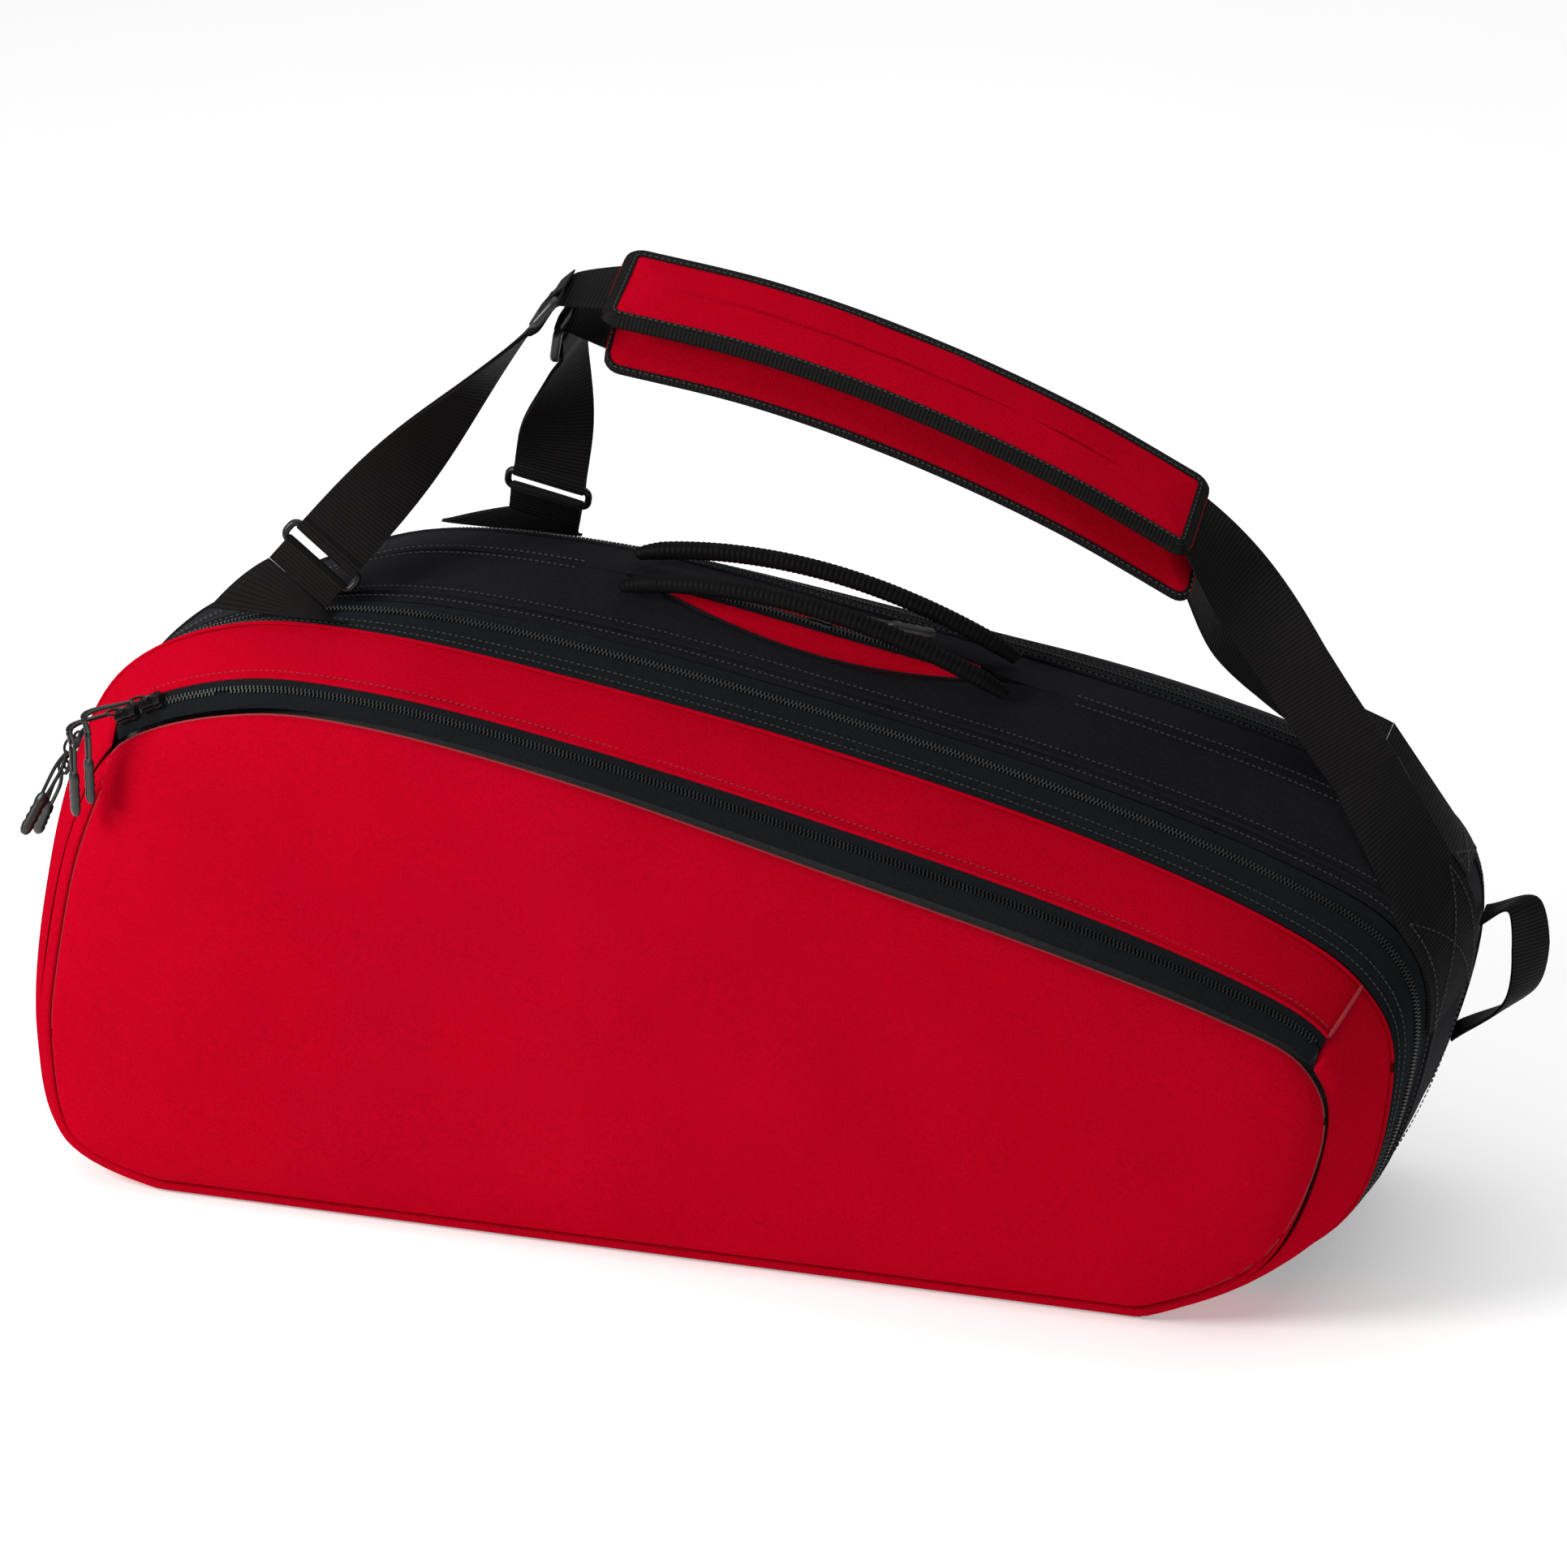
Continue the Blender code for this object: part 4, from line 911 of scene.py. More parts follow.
def closed_disc(name, front, rear, finish, inner=None):
    """A closed plate from rings of points on its two faces, whose rows run outward from the middle."""
    rings, count = front.shape[:2]
    points = np.concatenate([*front, *rear[::-1]])
    faces = []
    total = 2 * rings
    for r in range(total - 1):
        for k in range(count):
            n = (k + 1) % count
            faces.append((r * count + k, (r + 1) * count + k, (r + 1) * count + n, r * count + n))
    faces.append(tuple(range(count)))
    faces.append(tuple(reversed(range((total - 1) * count, total * count))))
    mesh = bpy.data.meshes.new(name)
    mesh.from_pydata(points.tolist(), [], faces)
    set_weave(mesh, points[:, [0, 2]])
    shade(mesh, angle=60)
    item = new_object(name, mesh, finish, inner)
    if inner:
        inside = np.zeros(len(mesh.polygons), dtype=np.int32)
        inside[rings * count:total * count - count] = 1
        inside[-1] = 1
        mesh.polygons.foreach_set("material_index", inside)
    return item


def panel_ring(outline, foot):
    """A panel's closed outline: its arch, kept above its foot, and points along the foot."""
    ring = [Vector((p.x, max(p.y, foot))) for p in outline]
    along = [ring[-1].lerp(ring[0], k / FOOT_PARTS) for k in range(1, FOOT_PARTS)]
    return ring + along


def moulded_panel(name, ring, strips, side, depth, finish, seed):
    """A panel that rolls out of its seam and swells to its middle, inside a strip of the given widths."""
    rings, away = inner_rings(ring, PANEL_INSETS, PANEL_SHARES)
    strips = np.array(strips)[None, :]
    base = STRIP_RISE * np.clip(strips / STRIP_FULL, 0, 1)
    turn = np.clip(away / np.maximum(strips, 1e-6), 0, 1)
    strip_rise = base * np.sqrt(1 - (1 - turn) ** 2)
    beyond = np.maximum(away - strips, 0)
    roll = np.sqrt(1 - (1 - np.clip(beyond / PANEL_ROLL, 0, 1)) ** 2)
    crown = np.clip(beyond / beyond.max(), 0, 1)
    swell = (depth - base) * (ROLL_SHARE * roll ** ROLL_POWER + (1 - ROLL_SHARE) * crown)
    groove = GROOVE_DEPTH * np.exp(-((away - strips) / GROOVE_HALF) ** 2)
    groove = groove * np.clip(strips / GROOVE_FULL, 0, 1)
    flat = np.zeros((*rings.shape[:2], 3))
    flat[..., 0] = rings[..., 0]
    flat[..., 2] = rings[..., 1]
    rise = strip_rise + swell - groove
    rise = rise + unevenness(flat, PANEL_PUCKER_SIZE, PANEL_PUCKER, seed)[..., 0] * roll
    front = flat.copy()
    front[..., 1] = side * (PANEL_Y + 2 * GAP + rise)
    rear = flat.copy()
    rear[..., 1] = side * (PANEL_Y + GAP + np.maximum(rise - PANEL_WALL, 0.0) * PANEL_INSIDE)
    if side > 0:
        front, rear = front[:, ::-1], rear[:, ::-1]
    return closed_disc(name, front, rear, finish, "grey_lining")


def make_base():
    """Base panel and the stiff board on it."""
    depths = np.linspace(-PANEL_Y + GAP, PANEL_Y - GAP, BASE_COLUMNS)
    shares = np.linspace(0.0, 1.0, BASE_ROWS)
    board = BASE_THICKNESS + GAP
    for name, node, inset, low, high, finish in (
            ("base_cloth", "base_panel", 0.0, 0.0, BASE_THICKNESS, "black_fabric"),
            ("base_stiffener", "base_board", BOARD_INSET, board, board + BOARD_THICKNESS, "grey_lining")):
        top = np.zeros((BASE_ROWS, BASE_COLUMNS, 3))
        for c, y in enumerate(depths):
            left = section(round(y, 6))[0].x + SEAT + inset
            right = section(round(y, 6))[LAST].x - SEAT - inset
            top[:, c, 0] = left + (right - left) * shares
            top[:, c, 1] = y * (1 - inset / PANEL_Y)
        bottom = top.copy()
        top[..., 2] = high
        bottom[..., 2] = low
        place(closed_sheet(name, top, bottom, finish), "core", finish, node)


def make_core():
    """Panels either side of the spine, their seams, and the inner walls."""
    sizes = settings().sizes
    sides = ((-1, "front"), (1, "rear"))
    for (side, label), seed in zip(sides, (3, 4)):
        def edges(i, side=side):
            return sorted((side * (TAPE_Y - GAP), side * (lens_half(i) + GAP)))

        item = skin_cloth(f"core_{label}_cloth", edges, 12, 0, LAST, "black_fabric", dip=0.0008, soft=0.0009,
                          seed=seed)
        place(item, "core", "black_fabric", f"core_{label}_panel")
    for side, label in sides:
        path, _ = skin_line(side * RIDGE_Y, 1, LAST - 1, sizes.piping * 0.3)
        piping(f"{label}_ridge_piping", path, sizes.piping, "black_fabric", "core", "black_fabric")
        wall(f"{label}_divider_cloth", side * DIVIDER_Y, "core", f"{label}_divider")
    last = LAST - END_STEPS
    lines = []
    for y in (-SPINE_STITCHES, SPINE_STITCHES):
        lines.append(skin_line(y, LENS_STEPS[-1] + LENS_CLEAR, last, CORE_STITCH_SEAT))
        lines.append(skin_line(y, END_STEPS, LENS_STEPS[0] - LENS_CLEAR, CORE_STITCH_SEAT))
    lines += [skin_line(y, END_STEPS, last, CORE_STITCH_SEAT) for y in RIDGE_STITCHES]
    stitches("core_stitches", lines, "black_thread", "core", "black_fabric")


def make_shell(side, label, body, finish):
    """One main compartment's gusset, with its stitches."""
    edge = PANEL_Y - GAP
    pocket = POCKET_ZIP_Y - GAP
    seam = SEAM_Y + GAP

    def edges(i):
        outer = pocket if side < 0 and ZIP_FIRST <= i <= ZIP_LAST else edge
        return sorted((side * seam, side * outer))

    item = skin_cloth(f"{label}_gusset_cloth", edges, 16, 0, LAST, finish, ease=1.7 if side < 0 else 1.0,
                      dip=0.0009, soft=0.0012, seed=5)
    place(item, body, finish, f"{label}_gusset")
    lines = [skin_line(side * (SEAM_Y - inset), END_STEPS, LAST - END_STEPS, STITCH_SEAT)
             for inset in ZIP_STITCHES]
    stitches(f"{label}_zip_stitches", lines, "black_thread", body, "zip_tape")
    path, _ = skin_line(side * SEAM_Y, 1, LAST - 1, -SEAM_SINK)
    piping(f"{label}_seam_piping", path, settings().sizes.piping, finish, body, finish)


def make_main_zip(side, label, shell):
    """The two tapes of a main zip and their teeth."""
    outer = sorted((side * (SEAM_Y - GAP), side * (TEETH_Y + GAP)))
    inner = sorted((side * (TEETH_Y - GAP), side * (TAPE_Y + GAP)))
    item = skin_cloth(f"{label}_outer_tape", lambda i: outer, 7, 0, LAST, "zip_tape", soft=0.0003)
    place(item, shell, "zip_tape", f"{label}_zip_outer_tape")
    item = skin_cloth(f"{label}_inner_tape", lambda i: inner, 5, 0, LAST, "zip_tape", soft=0.0003)
    place(item, "core", "zip_tape", f"{label}_zip_inner_tape")
    for row, toward, body in (("outer", side, shell), ("inner", -side, "core")):
        zip_teeth(f"{label}_{row}_teeth", side * TEETH_Y, toward, END_STEPS, LAST - END_STEPS,
                  "black_plastic", body, "zip_tape")


def fold(item, slot, *nodes):
    """Bake a piece of the front panel into place and hide the solids that it stands for."""
    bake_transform(item)
    if nodes:
        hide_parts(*nodes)


def strip_widths(count):
    """Width of the turned strip at each point of the front panel's outline."""
    widths = []
    for k in range(count):
        if k <= ZIP_FIRST:
            share = min(1.0, (ZIP_FIRST - k) / STRIP_TAPER)
        elif k <= LAST:
            share = max(0.0, 1 - (LAST - k) / (2 * STEPS))
        else:
            share = 1.0
        widths.append(STRIP_WIDTH * share * share * (3 - 2 * share))
    return widths


def make_front_panel():
    """The moulded front panel, which turns under along a strip, and the piping in its seam."""
    ring = panel_ring(FRONT_ARCH, FRONT_FOOT)
    widths = strip_widths(len(ring))
    item = moulded_panel("front_panel_cloth", ring, widths, -1, PANEL_DEPTH, "red_fabric", 7)
    fold(item, "red_fabric", "front_panel", "pocket_flap")
    outline = as_array(ring)
    seam = outline + inward(outline) * np.array(widths)[:, None]
    rises = [STRIP_RISE * width / STRIP_WIDTH * FRONT_PIPING_RISE for width in widths]
    rim = [Vector((x, -PANEL_Y - FRONT_PIPING_OUT - rise, z)) for (x, z), rise in zip(seam, rises)]
    cord = tube_part(rim, settings().sizes.piping * FRONT_PIPING_SHARE, 8, True)
    fold(join_parts("front_panel_piping", [cord], "red_thread"), "red_fabric")


def make_pocket():
    """The front pocket's zip and back wall."""
    sizes = settings().sizes
    lower = (-PANEL_Y + GAP, -POCKET_TEETH_Y - GAP)
    upper = (-POCKET_TEETH_Y + GAP, -POCKET_ZIP_Y - GAP)
    opens = ZIP_FIRST + cad_step(POCKET_PARKING + 1)
    item = skin_cloth("pocket_upper_tape", lambda i: upper, 8, ZIP_FIRST, ZIP_LAST, "zip_tape")
    place(item, "front_shell", "zip_tape", "pocket_zip_upper_tape")
    item = skin_cloth("pocket_parked_tape", lambda i: lower, 8, ZIP_FIRST, opens, "zip_tape", ease=2.0)
    place(item, "front_shell", "zip_tape")
    item = skin_cloth("pocket_lower_tape", lambda i: lower, 8, opens, ZIP_LAST, "zip_tape", ease=2.0)
    place(item, "pocket_flap", "zip_tape", "pocket_zip_lower_tape")
    for row, side, first, last, body in (("upper", 1, ZIP_FIRST + 1, ZIP_LAST - 1, "front_shell"),
                                         ("parked", -1, ZIP_FIRST + 1, opens - 1, "front_shell"),
                                         ("lower", -1, opens, ZIP_LAST - 1, "pocket_flap")):
        zip_teeth(f"pocket_{row}_teeth", -POCKET_TEETH_Y, side, first, last,
                  "black_plastic", body, "zip_tape")
    path, _ = skin_line(-POCKET_ZIP_Y, ZIP_FIRST, ZIP_LAST, -POCKET_PIPING)
    piping("pocket_zip_piping", path, sizes.piping, "red_fabric", "front_shell", "red_fabric")
    lines = [skin_line(-POCKET_ZIP_Y + POCKET_STITCHES, ZIP_FIRST, ZIP_LAST, POCKET_PIPING)]
    stitches("pocket_zip_stitches", lines, "red_thread", "front_shell", "red_fabric")
    corner = [skin(ZIP_LAST, y, POCKET_PIPING) for y in np.linspace(-POCKET_ZIP_Y, -SEAM_Y, 12)]
    piping("gusset_corner_seam", corner, sizes.piping, "red_thread", "front_shell", "red_fabric")
    wall("pocket_wall_cloth", -PANEL_Y + POCKET_DEPTH, "front_shell", "pocket_back_wall")


def make_rear_panel():
    """The moulded rear panel and the piping in its seam."""
    ring = panel_ring(REAR_ARCH, REAR_FOOT)
    item = moulded_panel("rear_panel_cloth", ring, [0.0] * len(ring), 1, REAR_DEPTH, "black_fabric", 11)
    place(item, "rear_shell", "black_fabric", "rear_panel")
    rim = [Vector((p.x, PANEL_Y + REAR_PIPING_OUT, p.y)) for p in ring]
    piping("rear_panel_piping", rim, settings().sizes.piping, "black_fabric", "rear_shell", "black_fabric",
           closed=True)


def make_centre_pocket():
    """The red lens between the handles, its zip and its floor."""
    first, last = LENS_STEPS[0], LENS_STEPS[-1]
    for side, label in ((-1, "front"), (1, "rear")):
        def edges(i, side=side):
            return sorted((side * (lens_half(i) - GAP), side * (CENTRE_ZIP_HALF + GAP)))

        item = skin_cloth(f"centre_{label}_cloth", edges, 7, first, last, "red_fabric", dip=0.0006)
        place(item, "core", "red_fabric", f"centre_pocket_{label}_panel")
        rim = [skin(i, side * lens_half(i), POCKET_PIPING) for i in range(first, last + 1)]
        piping(f"centre_{label}_piping", rim, LENS_PIPING, "black_fabric", "core", "black_fabric")
        zip_teeth(f"centre_{label}_teeth", 0.0, side, first, last, "black_plastic", "core", "zip_tape")
    tape = (-CENTRE_ZIP_HALF, CENTRE_ZIP_HALF)
    item = skin_cloth("centre_tape_cloth", lambda i: tape, 6, first, last, "zip_tape")
    place(item, "core", "zip_tape", "centre_zip_tape")
    low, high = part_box("centre_pocket_floor")
    ends = [skin(i, 0.0, -CENTRE_FLOOR_DROP) for i in (first, last)]
    points = []
    for share in np.linspace(0.0, 1.0, CENTRE_FLOOR_ROWS):
        middle = ends[0].lerp(ends[1], share)
        depths = np.linspace(low.y, high.y, CENTRE_FLOOR_COLUMNS)
        points.append([Vector((middle.x, y, middle.z)) for y in depths])
    item = cloth("centre_floor_cloth", points, settings().sizes.lining, "grey_lining")
    place(item, "core", "grey_lining", "centre_pocket_floor")


# Handles

def make_handle(side, label, rise, lean):
    """A ribbed tube handle whose flattened feet are sewn beside the centre pocket."""
    sizes = settings().sizes
    y = side * HANDLE_SPREAD
    feet = [Vector((x, y, top_height(x, y) + sizes.handle_radius)) for x in (LENS_LEFT, LENS_RIGHT)]
    up = Vector((0.0, -sin(lean), cos(lean)))
    path = []
    for k in range(HANDLE_PARTS + 1):
        t = k / HANDLE_PARTS
        path.append(feet[0].lerp(feet[1], t) + up * (rise * sin(pi * t) ** HANDLE_FULLNESS))
    along = running_length(as_array(path))
    radii = []
    for place_along in along:
        end = min(place_along, along[-1] - place_along)
        rib = HANDLE_RIB_RISE * abs(sin(pi * place_along / sizes.handle_rib))
        share = HANDLE_FOOT_SHARE + (1 - HANDLE_FOOT_SHARE) * min(1.0, end / HANDLE_FOOT_LENGTH)
        radii.append((sizes.handle_radius - HANDLE_RIB_FOOT + rib) * share)
    tube = join_parts(f"{label}_handle_webbing", [tube_part(path, radii, 14)], "black_webbing")
    place(tube, f"{label}_handle", "black_webbing", f"{label}_handle")


# Straps

def ribbon(name, rows, columns, finish):
    """Webbing along rows of (centre, width direction, width, thickness), with thinner selvedges."""
    top = []
    bottom = []
    for k, (centre, across, width, thickness) in enumerate(rows):
        ahead = rows[min(k + 1, len(rows) - 1)][0]
        behind = rows[max(k - 1, 0)][0]
        across = across.normalized()
        normal = (ahead - behind).normalized().cross(across).normalized()
        upper = []
        lower = []
        for c in range(columns):
            share = 2 * c / (columns - 1) - 1
            half = thickness / 2 * (SELVEDGE + (1 - SELVEDGE) * (1 - share ** 8))
            point = centre + across * (share * width / 2)
            upper.append(tuple(point + normal * half))
            lower.append(tuple(point - normal * half))
        top.append(upper)
        bottom.append(lower)
    return closed_sheet(name, np.array(top), np.array(bottom), finish)


def turning_rows(points, directions, width, thickness):
    """Rows of webbing whose width direction turns evenly through the given ones."""
    rows = []
    for k, point in enumerate(points):
        at = k / (len(points) - 1) * (len(directions) - 1)
        low = min(int(at), len(directions) - 2)
        across = directions[low].lerp(directions[low + 1], at - low)
        rows.append((point, across, width, thickness))
    return rows


class Strap:
    """Places along one shoulder strap, from its tab on the left to its sewn end on the right."""

    def __init__(self, label):
        facts = STRAPS[label]
        self.label = label
        self.side = facts["side"]
        self.body = f"{label}_strap"
        self.ring = Vector(facts["ring"])
        self.lock = Vector(facts["lock"])
        self.run = (self.lock - self.ring).normalized()
        self.across = Vector((self.run.z, 0.0, -self.run.x)).normalized()
        self.facing = self.run.cross(self.across)
        bar = RING_HALF_HEIGHT + RING_WIRE + GAP
        self.loop_end = self.ring - self.run * bar
        self.loop_start = self.loop_end - self.run * LOOP_LENGTH
        self.tab_end = self.loop_start - self.run * SWING_GAP
        self.seam = skin(cad_step(facts["tab_step"]), self.side * SEAM_Y, TAB_LIFT)
        self.low = self.ring + self.run * bar
        self.high = self.lock - self.run * (LOCK_LENGTH / 2 + GAP)
        drop = UP * facts["drop"]
        self.pad_line = curve_through([Vector(p) - drop for p in PAD_LINE], PAD_PARTS)
        self.pad_across = Vector((0.0, cos(facts["tilt"]), sin(facts["tilt"])))
        level = (self.pad_across - self.run * self.pad_across.dot(self.run)).normalized()
        self.lock_across = self.across.lerp(level, LOCK_TWIST).normalized()
        self.lock_facing = self.run.cross(self.lock_across)
        self.sewn_steps = facts["sewn_steps"]
        away = (self.pad_line[-1] - self.pad_line[-2]).normalized()
        start = self.pad_line[-1] - away * TUCK
        fall = [Vector(p) for p in facts["fall"]]
        self.fall = curve_through([start, *fall], 16, start - away * LEAD)
        run = (self.fall[-1] - self.fall[-2]).normalized()
        turned = Vector((-run.z, 0.0, run.x)).normalized()
        self.last = turned if self.side < 0 else (turned * REAR_TURN + BACK).normalized()
        self.fall_run = run

    def across_at(self, along):
        """Width direction of the anchor's webbing at one distance from the ring."""
        low = (self.low - self.ring).length
        high = (self.high - self.ring).length
        share = min(1.0, max(0.0, (along - low) / (high - low)))
        return self.across.lerp(self.lock_across, share).normalized()


def make_tab(strap):
    """The sewn triangular tab, from its base on the shell's seam to its end by the ring."""
    rows = []
    for k in range(TAB_ROWS):
        t = k / (TAB_ROWS - 1)
        width = TAB_BASE + (WEBBING - TAB_BASE) * t ** TAB_TAPER
        rows.append((strap.seam.lerp(strap.tab_end, t), ALONG.lerp(strap.across, t), width, TAB_THICKNESS))
    item = ribbon(f"{strap.label}_tab_webbing", rows, TAB_COLUMNS, "black_webbing")
    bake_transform(item)
    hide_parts(f"{strap.label}_anchor_tab")


def rounded_frame(centre, across, run, half_width, half_height, corner, parts):
    """A closed path round a rectangle with rounded corners, in the plane of two directions."""
    path = []
    for u, v in ((1, 1), (-1, 1), (-1, -1), (1, -1)):
        inner = centre + across * (u * (half_width - corner)) + run * (v * (half_height - corner))
        for k in range(parts + 1):
            turn = pi / 2 * k / parts
            if u * v < 0:
                turn = pi / 2 - turn
            path.append(inner + across * (u * corner * cos(turn)) + run * (v * corner * sin(turn)))
    return path


def make_lock(strap):
    """Ladder-lock frame with rounded bars and two webbing slots."""
    half_width = WEBBING / 2 + LOCK_MARGIN
    half = LOCK_LENGTH / 2 - LOCK_END
    path = rounded_frame(strap.lock, strap.lock_across, strap.run, half_width, half, LOCK_CORNER, 4)
    parts = [tube_part(path, LOCK_FRAME, 10, True, strap.lock_facing, flat=1.15)]
    for shift, radius in ((0.0, LOCK_MIDDLE_BAR), (half - LOCK_BAR_SET, LOCK_END_BAR)):
        bar = [strap.lock + strap.lock_across * (s * half_width) + strap.run * shift
               for s in (-1, -0.5, 0, 0.5, 1)]
        parts.append(tube_part(bar, radius, 10, False, strap.lock_facing, flat=1.2))
    item = join_parts(f"{strap.label}_lock_frame", parts, "black_plastic")
    place(item, strap.body, "black_plastic", f"{strap.label}_ladder_lock")


def make_ring(strap):
    """Rectangular wire ring with rounded corners."""
    half_width = WEBBING / 2 + RING_SIDE_GAP + RING_WIRE
    path = rounded_frame(strap.ring, strap.across, strap.run, half_width, RING_HALF_HEIGHT, RING_CORNER, 5)
    wire = tube_part(path, RING_WIRE, 12, True, strap.facing)
    item = join_parts(f"{strap.label}_ring_wire", [wire], "black_metal")
    place(item, strap.body, "black_metal", f"{strap.label}_ring")


def round_bar(strap, places):
    """Points beside a strap's anchor from (along, out) places in millimetres, measured from the ring."""
    points = []
    for s, f in places:
        facing = strap.run.cross(strap.across_at(s / 1000))
        points.append(strap.ring + strap.run * (s / 1000) - facing * (f / 1000))
    return points


def anchor_rows(strap, points):
    """Rows of single webbing that turn with the anchor."""
    rows = []
    for point in points:
        across = strap.across_at((point - strap.ring).dot(strap.run))
        rows.append((point, across, WEBBING, LAYER))
    return rows


def make_strap_webbing(strap):
    """Loop, adjusting webbing, stub and falling webbing of one strap."""
    label = strap.label

    def webbing(name, rows, node):
        item = ribbon(f"{label}_{name}", rows, WEBBING_COLUMNS, "black_webbing")
        place(item, strap.body, "black_webbing", f"{label}_{node}")

    bar = RING_HALF_HEIGHT * 1000
    wrap = WRAP * 1000
    slant = 0.7 * wrap
    half_turn = [(bar, wrap), (bar - slant, slant), (bar - wrap, 0.0), (bar - slant, -slant), (bar, -wrap)]
    back = (strap.loop_start - strap.ring).length * 1000
    places = [(-s, f) for s, f in [(back, 0.7), (bar + 5, 1.6), *half_turn, (bar + 5, -1.6), (back, -0.7)]]
    webbing("loop_webbing", anchor_rows(strap, curve_through(round_bar(strap, places), 4)), "ring_loop")

    reach = (strap.lock - strap.ring).length * 1000
    places = [(reach, -2.6), (reach + 2.3, -1.3), (reach + 2.6, 0.0), (reach + 2.0, 1.7), (reach, 2.6),
              (reach - 4.5, 3.2), (reach - 9.2, 3.9), (reach - 14, 3.0), (reach - 22, 1.4),
              (reach * 0.6, 0.65), (reach * 0.35, 0.65), (bar + 10, 0.9), (bar + 5, 1.9), *half_turn,
              (bar + 5, -1.9), (bar + 10, -0.9), (reach * 0.35, -0.65), (reach * 0.6, -0.65),
              (reach - 22, 0.1), (reach - 14, 1.6), (reach - 9.2, 2.7), (reach - 5.5, 1.0),
              (reach - 2.5, -1.8), (reach, -2.6)]
    rows = anchor_rows(strap, curve_through(round_bar(strap, places), 5))
    webbing("adjuster_cloth", rows, "adjuster_webbing")

    top = reach + LOCK_LENGTH / 2 * 1000 - 2.6
    places = [(top + 9, -1.5), (top + 4, -2.4), (top, -2.9), (top - 2.1, -2.0), (top - 2.9, 0.0),
              (top - 2.1, 2.0), (top, 2.9)]
    onward = (strap.pad_line[1] - strap.pad_line[0]).normalized()
    end = strap.pad_line[0] + onward * TUCK
    leave = round_bar(strap, [(top + 4.5, 2.2)])[0]
    turn = curve_through(round_bar(strap, places), 4, after=leave)
    stub = curve_through([turn[-1], leave, end], 8, turn[-2], end + onward * LEAD)
    rows = anchor_rows(strap, turn)[:-1]
    rows += turning_rows(stub, (strap.lock_across, strap.pad_across), WEBBING, LAYER)
    webbing("stub_cloth", rows, "pad_stub")
    rows = turning_rows(strap.fall, (strap.pad_across, strap.last, strap.last), WEBBING, WEBBING_THICKNESS)
    webbing("fall_cloth", rows, "fall_webbing")


def make_sewn_end(strap):
    """The strap's right end, which turns onto the end of the bag and is sewn there."""
    label = strap.label
    places = np.linspace(-WEBBING / 2, WEBBING / 2, WEBBING_COLUMNS)
    upper = SEAT + WEBBING_THICKNESS
    start = strap.fall[-1] + strap.fall_run * SLIT
    facing = strap.fall_run.cross(strap.last).normalized() * (WEBBING_THICKNESS / 2)
    y = strap.side * SEWN_Y
    steps = range(ZIP_LAST, ZIP_LAST + cad_step(strap.sewn_steps - 1) + 1, 2)
    top = []
    bottom = []
    for k in range(SEWN_ROWS):
        t = k / SEWN_ROWS
        row_top = []
        row_bottom = []
        for p in places:
            free = start + strap.last * p
            row_top.append(tuple((free + facing).lerp(skin(ZIP_LAST, y + p, upper), t)))
            row_bottom.append(tuple((free - facing).lerp(skin(ZIP_LAST, y + p, SEAT), t)))
        top.append(row_top)
        bottom.append(row_bottom)
    for i in steps:
        top.append([tuple(skin(i, y + p, upper)) for p in places])
        bottom.append([tuple(skin(i, y + p, SEAT)) for p in places])
    item = closed_sheet(f"{label}_sewn_cloth", np.array(top), np.array(bottom), "black_webbing")
    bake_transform(item)
    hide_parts(f"{label}_sewn_end")
    span = range(steps[0], steps[-1] + 1)
    side = SEWN_STITCHES
    lines = []
    for near, far in ((-side, -side), (side, side), (-side, side), (side, -side)):
        depths = np.linspace(near, far, len(span))
        path = [skin(i, y + depth, upper + STITCH_SEAT) for i, depth in zip(span, depths)]
        lines.append((path, [outward(i, y) for i in span]))
    stitches(f"{label}_sewn_stitches", lines, "black_thread", "core", "black_webbing")


def rounded_loop(half_length, half_width, radius):
    """Points round a rectangle with rounded corners, as (along, across)."""
    points = []
    flat_length = half_length - radius
    flat_width = half_width - radius
    corners = ((1, 1), (-1, 1), (-1, -1), (1, -1))
    for k, (u, v) in enumerate(corners):
        start = pi / 2 * k
        for s in range(PAD_CORNER_PARTS + 1):
            turn = start + pi / 2 * s / PAD_CORNER_PARTS
            points.append((u * flat_length + radius * cos(turn), v * flat_width + radius * sin(turn)))
        turn = start + pi / 2
        near, far = [(p * flat_length + radius * cos(turn), q * flat_width + radius * sin(turn))
                     for p, q in ((u, v), corners[(k + 1) % len(corners)])]
        count = PAD_SIDE_PARTS if k % 2 == 0 else PAD_END_PARTS
        for s in range(1, count):
            t = s / count
            points.append((near[0] + (far[0] - near[0]) * t, near[1] + (far[1] - near[1]) * t))
    return points


